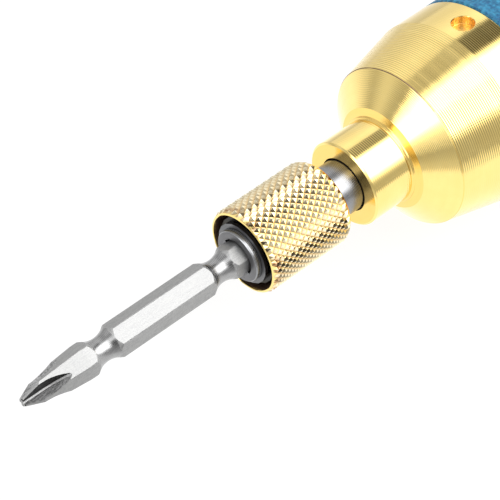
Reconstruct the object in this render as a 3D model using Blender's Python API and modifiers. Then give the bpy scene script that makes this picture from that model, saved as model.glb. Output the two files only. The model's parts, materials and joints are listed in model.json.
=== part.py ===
"""Straight lever-start air screwdriver with a twin-hammer drive and a quick-change chuck.

Lengths are in metres. The tool lies on a surface with its axis along X: the bit points
to -X, the air inlet to +X, and the throttle lever is on top. A station is a distance
behind the tip of the bit. The frame's origin is under the middle of the tool's length.
"""

import math

import bmesh
import bpy
from mathutils import Matrix, Vector

# Clearances
GAP = 0.0003  # between pieces that seat or run on each other
OVERRUN = 0.002  # how far a cutter passes the face that it opens
EDGE = 0.0004  # broken edges on turned pieces

# Sides of the turned pieces
BODY_SIDES = 40
INNER_SIDES = 20
SMALL_SIDES = 16
HEX_SIDES = 6
COIL_POINTS_PER_TURN = 7

# Bit
BIT_LENGTH = 0.065
BIT_FLATS = 0.00635
BIT_CORNER_BREAK = 0.00007
BIT_TIP_RADIUS = 0.0011
BIT_POINT_LENGTH = 0.0034
BIT_POINT_RADIUS = 0.00275
BIT_TAPER_LENGTH = 0.0100
BIT_GROOVE_FROM_END = 0.0183
BIT_GROOVE_HALF_LENGTH = 0.0031
BIT_GROOVE_ARC_RADIUS = 0.005
BIT_RIB = 0.0011
BIT_FLUTE_LENGTH = 0.0110
BIT_INSERTED = 0.0129

# Anvil, the output shaft
ANVIL_RADIUS = 0.0056
ANVIL_STANDS_PROUD = 0.00135
SOCKET_DEPTH = 0.0299
SNAP_RING_SET_BACK = 0.0013
SNAP_RING_THICKNESS = 0.0007
SNAP_GROOVE_DEPTH = 0.0006
SNAP_RING_HEIGHT = 0.0013
SNAP_RING_OPENING = 0.0030
WASHER_THICKNESS = 0.0007
FLANGE_HEIGHT = 0.0032
FLANGE_THICKNESS = 0.0025

# Locking ball and sleeve
BALL_RADIUS = 0.0015
BALL_SET_BACK = 0.0124
SLEEVE_LENGTH = 0.0207
SLEEVE_RADIUS = 0.0092
SLEEVE_FRONT_ROUND = 0.0009
SLEEVE_FRONT_WALL = 0.0016
SLEEVE_REAR_LIP = 0.0008
SLEEVE_POCKET_WALL = 0.0026
CHUCK_WIRE = 0.0008
CHUCK_SPRING_TURNS = 4

# Hammer case
CHUCK_TO_NOSE = 0.0063
NECK_LENGTH = 0.0106
NECK_RADIUS = 0.0093
NECK_STEP_LENGTH = 0.0003
NECK_STEP_HEIGHT = 0.0020
SHOULDER_LENGTH = 0.0050
SHOULDER_DROP = 0.0031
TAPER_LENGTH = 0.0136
BARREL_LENGTH = 0.0095
BODY_RADIUS = 0.0208
CASE_WALL = 0.0025
CASE_FRONT_WALL = 0.0030
CASE_MOUTH_WALL = 0.0028
SPANNER_HOLE_RADIUS = 0.0024
SPANNER_HOLE_DEPTH = 0.0019
SPANNER_HOLE_CHAMFER = 0.0004
SPANNER_HOLE_SET_BACK = 0.0048
SPANNER_HOLE_DEGREES = 10
NOSE_LIP = 0.0015
BUSHING_WALL = 0.0014

# Hammers and their cage
CAGE_CLEARANCE = 0.0013
CAGE_SET_BACK = 0.0052
CAGE_PLATE = 0.0030
CAGE_BACK_PLATE = 0.0035
HAMMER_LENGTH = 0.0085
HAMMER_PIN_RADIUS = 0.0020
HAMMER_OUTER_WALL = 0.0008
HAMMER_INNER_WALL = 0.0009
HAMMER_DOG_HEIGHT = 0.0012
HAMMER_DOG_DEGREES = 24
HAMMER_SIDE_CUT = 0.0038
HAMMER_SWING_DEGREES = 3
JAW_CLEARANCE = 0.0004
JAW_HEIGHT = 0.0028
JAW_WIDTH = 0.0052

# Housing
SOCKET_WALL = 0.0011
SPIGOT_LENGTH = 0.0127
HOUSING_FRONT_LENGTH = 0.0165
HOUSING_TAPER_LENGTH = 0.0120
GRIP_LENGTH = 0.0572
GRIP_DROP = 0.0023
GRIP_WAIST_DEPTH = 0.0006
GRIP_WALL = 0.0026

# Motor
PLATE_FLANGE = 0.0017
PLATE_BACK = 0.0016
BEARING_SHARE = 0.705  # of the motor's radius, as is the next
REAR_BEARING_SHARE = 0.58
BEARING_BORE_SHARE = 0.36  # of the bearing's outer radius, as is the next
BEARING_BALL_SHARE = 0.11
BEARING_LENGTH = 0.0050
REAR_BEARING_LENGTH = 0.0042
BEARING_BALLS = 7
BALL_CAGE_THICKNESS = 0.0008
SHAFT_SHOULDER = 0.0010
CYLINDER_LENGTH = 0.0420
CYLINDER_WALL = 0.0018
CYLINDER_OFFSET = 0.0014
EXHAUST_PORT_RADIUS = 0.0018
EXHAUST_PORTS = 3
VANES = 6
VANE_THICKNESS = 0.0014
ROTOR_CORE_SHARE = 0.48  # of the rotor's radius, inside the vanes
DOWEL_RADIUS = 0.0010
GASKET_THICKNESS = 0.0010

# Reversing ring and valve
RING_LENGTH = 0.0100
RING_SET_BACK = 0.0010
RING_TO_HEAD = 0.0006
REVERSE_BORE_SHARE = 0.72  # of the motor's radius
REVERSE_VALVE_PAST_PIN = 0.0033
REVERSE_PORT_SHARE = 0.2  # of the valve's radius
REVERSE_PORTS = 3
REVERSE_PIN_RADIUS = 0.0013
REVERSE_PIN_BITE = 0.0023
REVERSE_DEGREES = 20
RING_GRIPS = 12
RING_GRIP_RADIUS = 0.0012
RING_GRIP_DEPTH = 0.0006
DETENT_BALL_RADIUS = 0.0012
DETENT_BITE = 0.0002
DETENT_DIMPLE_DEPTH = 0.0004
DETENT_WIRE = 0.0004
DETENT_SPRING_TURNS = 4
DETENT_SPRING_LENGTH = 0.0044

# Rear head
HEAD_LENGTH = 0.0200
HEAD_CONE_LENGTH = 0.0045
HEAD_END_LENGTH = 0.0050
HEAD_CHAMFER = 0.0008
INLET_THREAD_RADIUS = 0.0076
INLET_THREAD_LENGTH = 0.0122
INLET_BORE_RADIUS = 0.0056
INLET_PASSAGE_RADIUS = 0.0040
INLET_BORE_DEPTH = 0.0160
INLET_HEX_FLATS = 0.0170
INLET_HEX_LENGTH = 0.0055
INLET_COLLAR_RADIUS = 0.0082
INLET_COLLAR_LENGTH = 0.0045
INLET_CHAMFER = 0.0008
STRAINER_WALL = 0.0005
STRAINER_RIM = 0.0009
STRAINER_LENGTH = 0.0055
STRAINER_END_RADIUS = 0.0012
MUFFLER_DEPTH = 0.0060
MUFFLER_INNER_WALL = 0.0016
MUFFLER_SPACE = 0.0035
MUFFLER_OUTER_WALL = 0.0008
DEFLECTOR_THICKNESS = 0.0020
DEFLECTOR_SET_BACK = 0.0006
DEFLECTOR_SLOTS = 10
DEFLECTOR_SLOT_WIDTH = 0.0016
DEFLECTOR_SLOT_LENGTH = 0.0030

# Throttle lever and its ears
LEVER_PIVOT_SET_BACK = 0.0220
LEVER_PIVOT_RISE = 0.0026
LEVER_LENGTH = 0.0760
LEVER_WIDTH = 0.0130
LEVER_SKIN = 0.0020
LEVER_ABOVE_LINE = 0.0015
LEVER_BELOW_LINE = 0.0025
LEVER_EYE_RADIUS = 0.0034
LEVER_LIP_LENGTH = 0.0060
LEVER_LIP_RISE = 0.0022
LEVER_EDGE = 0.0005
LEVER_REST_DEGREES = 7.5
LEVER_PIN_RADIUS = 0.0016
EAR_THICKNESS = 0.0026
EAR_RADIUS = 0.0042
EAR_FOOT = 0.0004
LEVER_SLOT_DEPTH = 0.0019

# Throttle valve
THROTTLE_SET_BACK = 0.0100
THROTTLE_PIN_RADIUS = 0.0014
VALVE_BORE_RADIUS = 0.0060
VALVE_SEAT_LENGTH = 0.0030
VALVE_PORT_RADIUS = 0.0027
VALVE_CHAMBER_HEIGHT = 0.0035
VALVE_PASSAGE_RADIUS = 0.0013
POPPET_OVERLAP = 0.0019
POPPET_LENGTH = 0.0022
POPPET_STEM_RADIUS = 0.0015
POPPET_STEM_LENGTH = 0.0055
PLUG_LENGTH = 0.0078
PLUG_RECESS = 0.0006
PLUG_KEY_RADIUS = 0.0025
PLUG_KEY_DEPTH = 0.0030
VALVE_WIRE = 0.0008
VALVE_SPRING_RADIUS = 0.0033
VALVE_SPRING_TURNS = 6

# Hanging bail
BAIL_WIRE_RADIUS = 0.0012
BAIL_HOLE_DEPTH = 0.0027
BAIL_CORNER = 0.0015
BAIL_SIDES_PER_CORNER = 3
BAIL_ARC_STEPS = 16

# Stations along the axis
ANVIL_FRONT = BIT_LENGTH - BIT_INSERTED
BALL_STATION = ANVIL_FRONT + BALL_SET_BACK
SLEEVE_FRONT = ANVIL_FRONT + ANVIL_STANDS_PROUD
SLEEVE_REAR = SLEEVE_FRONT + SLEEVE_LENGTH
NOSE_FRONT = SLEEVE_REAR + CHUCK_TO_NOSE
NECK_END = NOSE_FRONT + NECK_LENGTH
SHOULDER_END = NECK_END + SHOULDER_LENGTH
TAPER_END = SHOULDER_END + TAPER_LENGTH
CASE_END = TAPER_END + BARREL_LENGTH
CAVITY_FRONT = SHOULDER_END + CASE_FRONT_WALL
FLANGE_FRONT = CAVITY_FRONT + GAP
FLANGE_END = FLANGE_FRONT + FLANGE_THICKNESS
CAGE_FRONT = FLANGE_END + CAGE_SET_BACK
HAMMERS_FRONT = CAGE_FRONT + CAGE_PLATE + GAP
HAMMERS_MIDDLE = HAMMERS_FRONT + HAMMER_LENGTH
HAMMERS_END = HAMMERS_MIDDLE + GAP + HAMMER_LENGTH
CAGE_BACK = HAMMERS_END + GAP
CAGE_END = CAGE_BACK + CAGE_BACK_PLATE
SPIGOT_END = CASE_END + SPIGOT_LENGTH
PLATE_FRONT = SPIGOT_END + GAP
PLATE_STEP = PLATE_FRONT + PLATE_FLANGE
BEARING_FRONT = PLATE_FRONT + GAP
BEARING_END = BEARING_FRONT + BEARING_LENGTH
PLATE_END = BEARING_END + GAP + PLATE_BACK
CYLINDER_FRONT = PLATE_END + GAP
CYLINDER_END = CYLINDER_FRONT + CYLINDER_LENGTH
REAR_PLATE_FRONT = CYLINDER_END + GAP
REAR_BEARING_FRONT = REAR_PLATE_FRONT + PLATE_BACK + GAP
REAR_BEARING_END = REAR_BEARING_FRONT + REAR_BEARING_LENGTH
REAR_PLATE_END = REAR_BEARING_END + PLATE_BACK
GASKET_FRONT = REAR_PLATE_END + GAP
SHELL_FRONT = GASKET_FRONT + GASKET_THICKNESS + GAP
HOUSING_FRONT = CASE_END + GAP
HOUSING_TAPER_FRONT = HOUSING_FRONT + HOUSING_FRONT_LENGTH
GRIP_FRONT = HOUSING_TAPER_FRONT + HOUSING_TAPER_LENGTH
GRIP_END = GRIP_FRONT + GRIP_LENGTH
RING_FRONT = GRIP_END + 2 * GAP
RING_END = RING_FRONT + RING_LENGTH
HEAD_FRONT = RING_END + RING_TO_HEAD
HEAD_CONE_FRONT = HEAD_FRONT + HEAD_LENGTH
HEAD_CONE_END = HEAD_CONE_FRONT + HEAD_CONE_LENGTH
HEAD_END = HEAD_CONE_END + HEAD_END_LENGTH
BAIL_STATION = HEAD_CONE_END + HEAD_END_LENGTH / 2
REVERSE_VALVE_FRONT = SHELL_FRONT + GAP
REVERSE_PIN_STATION = (RING_FRONT + RING_END) / 2
REVERSE_VALVE_END = REVERSE_PIN_STATION + REVERSE_VALVE_PAST_PIN
INLET_HEX_FRONT = HEAD_END + GAP
INLET_COLLAR_FRONT = INLET_HEX_FRONT + INLET_HEX_LENGTH
TOOL_END = INLET_COLLAR_FRONT + INLET_COLLAR_LENGTH
LEVER_PIVOT_STATION = HEAD_FRONT + LEVER_PIVOT_SET_BACK
THROTTLE_STATION = HEAD_FRONT + THROTTLE_SET_BACK
MIDDLE_STATION = TOOL_END / 2

# Radii and heights that follow from the sizes above
SHOULDER_RADIUS = BODY_RADIUS - SHOULDER_DROP
GRIP_RADIUS = BODY_RADIUS - GRIP_DROP
CAVITY_RADIUS = BODY_RADIUS - CASE_WALL
CASE_MOUTH_RADIUS = SHOULDER_RADIUS - CASE_MOUTH_WALL
CAGE_RADIUS = CAVITY_RADIUS - CAGE_CLEARANCE
HAMMER_RADIUS = CAGE_RADIUS - GAP
HAMMER_HOLE_RADIUS = HAMMER_PIN_RADIUS + GAP
HAMMER_PIN_CIRCLE = HAMMER_RADIUS - HAMMER_OUTER_WALL - HAMMER_HOLE_RADIUS
HAMMER_BORE = HAMMER_PIN_CIRCLE - HAMMER_HOLE_RADIUS - HAMMER_INNER_WALL
HAMMER_DOG_REACH = HAMMER_BORE - HAMMER_DOG_HEIGHT
HAMMER_HALF_WIDTH = HAMMER_RADIUS - HAMMER_SIDE_CUT
JAW_REACH = HAMMER_DOG_REACH - JAW_CLEARANCE
ANVIL_CORE_RADIUS = JAW_REACH - JAW_HEIGHT
BUSHING_INNER = ANVIL_RADIUS + GAP
BUSHING_OUTER = BUSHING_INNER + BUSHING_WALL
NOSE_BORE = BUSHING_OUTER + GAP
SPIGOT_RADIUS = BODY_RADIUS - SOCKET_WALL - GAP
HOUSING_SOCKET = BODY_RADIUS - SOCKET_WALL
MOTOR_BORE = GRIP_RADIUS - GRIP_WALL
MOTOR_RADIUS = MOTOR_BORE - GAP
CYLINDER_BORE = MOTOR_RADIUS - CYLINDER_WALL - CYLINDER_OFFSET
ROTOR_RADIUS = CYLINDER_BORE - CYLINDER_OFFSET - GAP
BEARING_RADIUS = MOTOR_RADIUS * BEARING_SHARE
REAR_BEARING_RADIUS = MOTOR_RADIUS * REAR_BEARING_SHARE
SHAFT_RADIUS = BEARING_RADIUS * BEARING_BORE_SHARE - GAP
REAR_SHAFT_RADIUS = REAR_BEARING_RADIUS * BEARING_BORE_SHARE - GAP
SHELL_BORE = MOTOR_RADIUS * REVERSE_BORE_SHARE
REVERSE_VALVE_RADIUS = SHELL_BORE - GAP
RING_BORE = MOTOR_RADIUS + GAP
RING_RADIUS = BODY_RADIUS - RING_SET_BACK
DETENT_CIRCLE = (RING_BORE + RING_RADIUS) / 2
MUFFLER_INNER = INLET_THREAD_RADIUS + GAP + MUFFLER_INNER_WALL
MUFFLER_OUTER = MUFFLER_INNER + MUFFLER_SPACE
HEAD_END_RADIUS = MUFFLER_OUTER + MUFFLER_OUTER_WALL + BAIL_HOLE_DEPTH
BAIL_RADIUS = HEAD_END_RADIUS + GAP + BAIL_WIRE_RADIUS
INLET_HEX_CORNER = INLET_HEX_FLATS / 2 / math.cos(math.pi / HEX_SIDES)
LEVER_PIVOT_HEIGHT = BODY_RADIUS + LEVER_PIVOT_RISE
AIR_PASSAGE_HEIGHT = SHELL_BORE - VALVE_PASSAGE_RADIUS
VALVE_CHAMBER_TOP = AIR_PASSAGE_HEIGHT + VALVE_CHAMBER_HEIGHT / 2
VALVE_SEAT_TOP = VALVE_CHAMBER_TOP - VALVE_CHAMBER_HEIGHT - GAP
VALVE_SEAT_FOOT = VALVE_SEAT_TOP - VALVE_SEAT_LENGTH

# The tool rests on a flat side of its widest rings, so the axis is this high.
AXIS_HEIGHT = BODY_RADIUS * math.cos(math.pi / BODY_SIDES)

# Turned pieces are drawn with their axis along Z, and this lays them along X.
LAY_DOWN = Matrix.Rotation(math.pi / 2, 4, "Y")
# Flat outlines across the tool's axis: the drawing's X is Y, and its Y is up.
ACROSS_AXIS = Matrix(((0, 0, 1, 0), (1, 0, 0, 0), (0, 1, 0, 0), (0, 0, 0, 1)))
# Flat outlines seen from the side: the drawing's X is X, and its Y is up.
SIDE_VIEW = Matrix(((1, 0, 0, 0), (0, 0, -1, 0), (0, 1, 0, 0), (0, 0, 0, 1)))

SMOOTH_DEGREES = 35
MERGE = 0.000001


def clear_scene():
    for old in list(bpy.data.objects):
        bpy.data.objects.remove(old, do_unlink=True)


def new_collection(name):
    made = bpy.data.collections.new(name)
    bpy.context.scene.collection.children.link(made)
    return made


def new_material(name, colour, metallic, roughness):
    made = bpy.data.materials.new(name)
    made.use_nodes = True
    shader = made.node_tree.nodes["Principled BSDF"]
    shader.inputs["Base Color"].default_value = (*colour, 1)
    shader.inputs["Metallic"].default_value = metallic
    shader.inputs["Roughness"].default_value = roughness
    made.diffuse_color = (*colour, 1)
    return made


def gold(name):
    return new_material(name, (0.86, 0.68, 0.30), 1, 0.25)


def steel(name):
    return new_material(name, (0.62, 0.62, 0.61), 1, 0.32)


def dark_steel(name):
    return new_material(name, (0.16, 0.16, 0.17), 1, 0.45)


def aluminium(name):
    return new_material(name, (0.70, 0.71, 0.72), 1, 0.38)


def bronze(name):
    return new_material(name, (0.55, 0.36, 0.17), 1, 0.40)


def blue_coat(name):
    return new_material(name, (0.10, 0.42, 0.68), 0, 0.60)


def black_plastic(name):
    return new_material(name, (0.03, 0.03, 0.03), 0, 0.50)


def place(station, across=0, up=0):
    """A point at a station, with its offsets from the tool's axis."""
    return Vector((station - MIDDLE_STATION, across, AXIS_HEIGHT + up))


def add_object(name, data, matrix, material=None):
    """A part of the tool if it has a material, and otherwise a cutter."""
    made = bpy.data.objects.new(name, data)
    made.matrix_world = matrix
    if material:
        tool.objects.link(made)
        data.materials.append(material)
    else:
        cutters.objects.link(made)
        made.hide_render = True
        made.display_type = "WIRE"
    return made


def smooth(data):
    data.shade_smooth()
    data.set_sharp_from_angle(angle=math.radians(SMOOTH_DEGREES))


def turned(name, section, sides, material=None, across=0, up=0):
    """A section of (station, radius) points, outer side first and front to rear."""
    data = bpy.data.meshes.new(name)
    points = [(radius, 0, station) for station, radius in reversed(section)]
    edges = [(i, i + 1) for i in range(len(points) - 1)]
    if points[0][0] > 0:
        edges.append((len(points) - 1, 0))
    data.from_pydata(points, edges, [])
    half_side = Matrix.Rotation(math.pi / sides, 4, "Z")
    made = add_object(
        name, data, Matrix.Translation(place(0, across, up)) @ LAY_DOWN @ half_side, material
    )
    screw = made.modifiers.new("turn", "SCREW")
    screw.steps = screw.render_steps = sides
    screw.use_merge_vertices = True
    screw.merge_threshold = MERGE
    screw.use_smooth_shade = True
    return made


def prism(name, start, end, radius, sides, material=None, direction=(1, 0, 0), phase=0,
          flare=0):
    """A straight bar from one point to another. A flare widens its far end."""
    mesh = bmesh.new()
    axis = end - start
    bmesh.ops.create_cone(
        mesh,
        cap_ends=True,
        segments=sides,
        radius1=radius,
        radius2=radius + flare,
        depth=axis.length,
        matrix=Matrix.Rotation(phase, 4, "Z"),
    )
    data = bpy.data.meshes.new(name)
    mesh.to_mesh(data)
    mesh.free()
    smooth(data)
    turn = Vector(direction).to_track_quat("Z", "Y").to_matrix().to_4x4()
    return add_object(name, data, Matrix.Translation((start + end) / 2) @ turn, material)


def rod_along(name, start, end, radius, sides, material=None, across=0, up=0):
    """A round or hexagonal bar along the tool's axis."""
    return prism(name, place(start, across, up), place(end, across, up), radius, sides, material)


def rod_up(name, station, low, high, radius, sides, material=None):
    return prism(name, place(station, 0, low), place(station, 0, high), radius, sides, material,
                 (0, 0, 1), math.pi / sides)


def rod_across(name, station, up, left, right, radius, sides, material=None):
    return prism(name, place(station, left, up), place(station, right, up), radius, sides,
                 material, (0, 1, 0), math.pi / sides)


def block(name, low, high, material=None, round_off=0, turn=None):
    """A box between two corners, each (station, across, up)."""
    corners = place(*low), place(*high)
    size = corners[1] - corners[0]
    mesh = bmesh.new()
    bmesh.ops.create_cube(mesh, size=1, matrix=Matrix.Diagonal((*size, 1)))
    data = bpy.data.meshes.new(name)
    mesh.to_mesh(data)
    mesh.free()
    middle = Matrix.Translation((corners[0] + corners[1]) / 2)
    about_axis = Matrix.Translation(place(0))
    matrix = about_axis @ turn @ about_axis.inverted() @ middle if turn else middle
    made = add_object(name, data, matrix, material)
    if round_off:
        bevel = made.modifiers.new("edges", "BEVEL")
        bevel.width = round_off
        bevel.segments = 1
    return made


def ball(name, centre, radius, sides, material=None):
    mesh = bmesh.new()
    bmesh.ops.create_uvsphere(mesh, u_segments=sides, v_segments=sides // 2, radius=radius)
    data = bpy.data.meshes.new(name)
    mesh.to_mesh(data)
    mesh.free()
    smooth(data)
    return add_object(name, data, Matrix.Translation(centre), material)


def plate(name, outlines, thickness, matrix, material=None):
    """A flat outline with its holes, cut from a plate of one thickness."""
    curve = bpy.data.curves.new(name, "CURVE")
    curve.dimensions = "2D"
    curve.fill_mode = "BOTH"
    curve.extrude = thickness / 2
    curve.render_resolution_u = 0
    for outline in outlines:
        spline = curve.splines.new("POLY")
        spline.points.add(len(outline) - 1)
        for point, (x, y) in zip(spline.points, outline):
            point.co = (x, y, 0, 1)
        spline.use_cyclic_u = True
    return from_curve(name, curve, matrix, material)


def wire(name, points, radius, bevel_resolution, material):
    """A round wire through points that are given in the world."""
    curve = bpy.data.curves.new(name, "CURVE")
    curve.dimensions = "3D"
    curve.bevel_depth = radius
    curve.bevel_resolution = bevel_resolution
    curve.use_fill_caps = True
    spline = curve.splines.new("POLY")
    spline.points.add(len(points) - 1)
    for point, place_of in zip(spline.points, points):
        point.co = (*place_of, 1)
    return from_curve(name, curve, Matrix.Identity(4), material)


def from_curve(name, curve, matrix, material):
    """The curve's closed mesh, in place of the curve."""
    drawn = bpy.data.objects.new(name + "_curve", curve)
    tool.objects.link(drawn)
    graph = bpy.context.evaluated_depsgraph_get()
    data = bpy.data.meshes.new_from_object(drawn.evaluated_get(graph))
    bpy.data.objects.remove(drawn, do_unlink=True)
    data.name = name
    mesh = bmesh.new()
    mesh.from_mesh(data)
    bmesh.ops.remove_doubles(mesh, verts=mesh.verts, dist=MERGE)
    mesh.to_mesh(data)
    mesh.free()
    smooth(data)
    return add_object(name, data, matrix, material)


def cut(target, cutter, operation="DIFFERENCE"):
    boolean = target.modifiers.new(cutter.name, "BOOLEAN")
    boolean.object = cutter
    boolean.operation = operation
    return target


def arc(centre, radius, start_degrees, end_degrees, steps):
    """Points on an arc, both ends included."""
    turns = [math.radians(start_degrees + (end_degrees - start_degrees) * i / steps)
             for i in range(steps + 1)]
    return [(centre[0] + radius * math.cos(t), centre[1] + radius * math.sin(t)) for t in turns]


def circle(centre, radius, sides):
    return arc(centre, radius, 0, 360 - 360 / sides, sides - 1)


def coil_points(start, end, radius, turns):
    """A helix from one point to another, in the world."""
    axis = end - start
    turn = axis.to_track_quat("Z", "Y")
    count = turns * COIL_POINTS_PER_TURN
    points = []
    for i in range(count + 1):
        angle = 2 * math.pi * i / COIL_POINTS_PER_TURN
        ring = Vector((radius * math.cos(angle), radius * math.sin(angle), 0))
        points.append(start + axis * i / count + turn @ ring)
    return points


def report_coil(name, points, wire_width):
    """Prints the least gap between a coil's turns, measured on its points."""
    gaps = [(after - before).length - wire_width
            for before, after in zip(points, points[COIL_POINTS_PER_TURN:])]
    print(name, "least gap to itself:", round(min(gaps) * 1000, 3), "mm")


def coil_spring(name, start, end, radius, turns, wire_width, material):
    points = coil_points(start, end, radius, turns)
    report_coil(name, points, wire_width)
    return wire(name, points, wire_width / 2, 1, material)


def groove_section(middle, edge_radius):
    """The arc of one of the bit's turned grooves."""
    steps = 6
    centre = edge_radius + math.sqrt(BIT_GROOVE_ARC_RADIUS**2 - BIT_GROOVE_HALF_LENGTH**2)
    points = []
    for i in range(steps + 1):
        along = BIT_GROOVE_HALF_LENGTH * (2 * i / steps - 1)
        depth = centre - math.sqrt(BIT_GROOVE_ARC_RADIUS**2 - along**2)
        points.append((middle + along, depth))
    return points


def bit_section(corner_radius):
    half = [
        (0, BIT_TIP_RADIUS),
        (BIT_POINT_LENGTH, BIT_POINT_RADIUS),
        (BIT_TAPER_LENGTH, corner_radius),
        *groove_section(BIT_GROOVE_FROM_END, corner_radius),
    ]
    other_half = [(BIT_LENGTH - station, radius) for station, radius in reversed(half)]
    return [(0, 0), *half, *other_half, (BIT_LENGTH, 0)]


def flute_cutters(name, tip, into):
    """Four wedges round one point of the bit. Their inner edges slope away from the axis."""
    wedge = 2 * BIT_FLATS
    rise = (BIT_FLATS / 2 - BIT_RIB / math.sqrt(2)) / BIT_FLUTE_LENGTH / math.sqrt(2)
    length = BIT_FLUTE_LENGTH + 2 * OVERRUN
    made = []
    for quarter in range(4):
        mesh = bmesh.new()
        bmesh.ops.create_cube(mesh, size=1)
        for vertex in mesh.verts:
            along = (vertex.co.x + 0.5) * length - OVERRUN
            edge = BIT_RIB / 2 + rise * along
            vertex.co.y = edge if vertex.co.y < 0 else wedge
            vertex.co.z = edge if vertex.co.z < 0 else wedge
            vertex.co.x = along * into
        if into < 0:
            bmesh.ops.reverse_faces(mesh, faces=mesh.faces)
        data = bpy.data.meshes.new(f"{name}_{quarter}")
        mesh.to_mesh(data)
        mesh.free()
        turn = Matrix.Rotation(math.pi / 2 * quarter, 4, "X")
        made.append(add_object(f"{name}_{quarter}", data, Matrix.Translation(place(tip)) @ turn))
    return made


def make_bit():
    corner = BIT_FLATS / 2 / math.cos(math.pi / HEX_SIDES) - BIT_CORNER_BREAK
    hexagon = rod_along("bit_hexagon", -OVERRUN, BIT_LENGTH + OVERRUN,
                        BIT_FLATS / 2 / math.cos(math.pi / HEX_SIDES), HEX_SIDES)
    bit = turned("bit", bit_section(corner), BODY_SIDES // 2, steel("bit_steel"))
    cut(bit, hexagon, "INTERSECT")
    for wedge in flute_cutters("front_flute", 0, 1) + flute_cutters("rear_flute", BIT_LENGTH, -1):
        cut(bit, wedge)


def snap_groove_front():
    return ANVIL_FRONT + SNAP_RING_SET_BACK


def washer_front():
    return snap_groove_front() + SNAP_RING_THICKNESS + 2 * GAP


def make_anvil():
    groove = snap_groove_front()
    groove_end = groove + SNAP_RING_THICKNESS + GAP
    groove_floor = ANVIL_RADIUS - SNAP_GROOVE_DEPTH
    anvil = turned("anvil", [
        (ANVIL_FRONT, 0),
        (ANVIL_FRONT, ANVIL_RADIUS - EDGE),
        (ANVIL_FRONT + EDGE, ANVIL_RADIUS),
        (groove - GAP, ANVIL_RADIUS),
        (groove - GAP, groove_floor),
        (groove_end, groove_floor),
        (groove_end, ANVIL_RADIUS),
        (FLANGE_FRONT, ANVIL_RADIUS),
        (FLANGE_FRONT, ANVIL_RADIUS + FLANGE_HEIGHT),
        (FLANGE_END, ANVIL_RADIUS + FLANGE_HEIGHT),
        (FLANGE_END, ANVIL_CORE_RADIUS),
        (HAMMERS_END, ANVIL_CORE_RADIUS),
        (HAMMERS_END, 0),
    ], INNER_SIDES, steel("anvil_steel"))
    half_width = JAW_WIDTH / 2
    half_height = math.sqrt(JAW_REACH**2 - half_width**2)
    jaws = block("anvil_jaws", (HAMMERS_FRONT + GAP, -half_width, -half_height),
                 (HAMMERS_END - GAP, half_width, half_height))
    cut(anvil, jaws, "UNION")
    socket = rod_along("anvil_socket", ANVIL_FRONT - OVERRUN, ANVIL_FRONT + SOCKET_DEPTH,
                       (BIT_FLATS / 2 + GAP) / math.cos(math.pi / HEX_SIDES), HEX_SIDES)
    cut(anvil, socket)
    ball_hole = rod_across("anvil_ball_hole", BALL_STATION, 0, -ANVIL_RADIUS - OVERRUN, 0,
                           BALL_RADIUS + GAP, SMALL_SIDES)
    cut(anvil, ball_hole)


def locked_ball_centre():
    """How far from the axis the ball's centre is when it stands in a bit's groove."""
    corner = BIT_FLATS / 2 / math.cos(math.pi / HEX_SIDES) - BIT_CORNER_BREAK
    depth = BIT_GROOVE_ARC_RADIUS - math.sqrt(
        BIT_GROOVE_ARC_RADIUS**2 - BIT_GROOVE_HALF_LENGTH**2)
    return corner - depth + GAP + BALL_RADIUS


def sleeve_land():
    """The front and the rear end of the sleeve's land, and its bore."""
    reach = BALL_RADIUS + GAP
    return (BALL_STATION - reach, BALL_STATION + reach,
            locked_ball_centre() + BALL_RADIUS + GAP)


def make_chuck():
    ball("chuck_ball", place(BALL_STATION, -locked_ball_centre()), BALL_RADIUS, SMALL_SIDES // 2,
         steel("ball_steel"))
    ring_inner = ANVIL_RADIUS - SNAP_GROOVE_DEPTH + GAP
    ring_outer = ring_inner + SNAP_RING_HEIGHT
    ring_front = snap_groove_front()
    ring = turned("chuck_snap_ring", [
        (ring_front, ring_outer),
        (ring_front + SNAP_RING_THICKNESS, ring_outer),
        (ring_front + SNAP_RING_THICKNESS, ring_inner),
        (ring_front, ring_inner),
    ], INNER_SIDES, dark_steel("snap_ring_steel"))
    cut(ring, block("snap_ring_opening",
                    (ring_front - OVERRUN, -SNAP_RING_OPENING / 2, -ring_outer - OVERRUN),
                    (ring_front + OVERRUN, SNAP_RING_OPENING / 2, 0)))
    sleeve_bore = SLEEVE_RADIUS - SLEEVE_FRONT_WALL
    front = washer_front()
    turned("chuck_washer", [
        (front, sleeve_bore - GAP),
        (front + WASHER_THICKNESS, sleeve_bore - GAP),
        (front + WASHER_THICKNESS, ANVIL_RADIUS + GAP),
        (front, ANVIL_RADIUS + GAP),
    ], INNER_SIDES, dark_steel("washer_steel"))
    land_front, land_end, land_bore = sleeve_land()
    inset = GAP + CHUCK_WIRE / 2
    coil_spring(
        "chuck_spring", place(front + WASHER_THICKNESS + inset), place(land_front - inset),
        sleeve_bore - inset, CHUCK_SPRING_TURNS, CHUCK_WIRE, dark_steel("chuck_spring_steel"))
    pocket = SLEEVE_RADIUS - SLEEVE_POCKET_WALL
    lip_front = SLEEVE_REAR - 2 * SLEEVE_REAR_LIP
    lip_bore = ANVIL_RADIUS + GAP
    turned("chuck_sleeve", [
        (SLEEVE_FRONT, sleeve_bore + EDGE),
        *[(SLEEVE_FRONT + SLEEVE_FRONT_ROUND - y, SLEEVE_RADIUS - SLEEVE_FRONT_ROUND + x)
          for x, y in arc((0, 0), SLEEVE_FRONT_ROUND, 90, 0, 3)],
        (SLEEVE_REAR - EDGE, SLEEVE_RADIUS),
        (SLEEVE_REAR, SLEEVE_RADIUS - EDGE),
        (SLEEVE_REAR, lip_bore),
        (SLEEVE_REAR - SLEEVE_REAR_LIP, lip_bore),
        (lip_front, pocket),
        (land_end, pocket),
        (land_end, land_bore),
        (land_front, land_bore),
        (land_front, sleeve_bore),
        (SLEEVE_FRONT + EDGE, sleeve_bore),
    ], BODY_SIDES, gold("sleeve_gold"))


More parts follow.
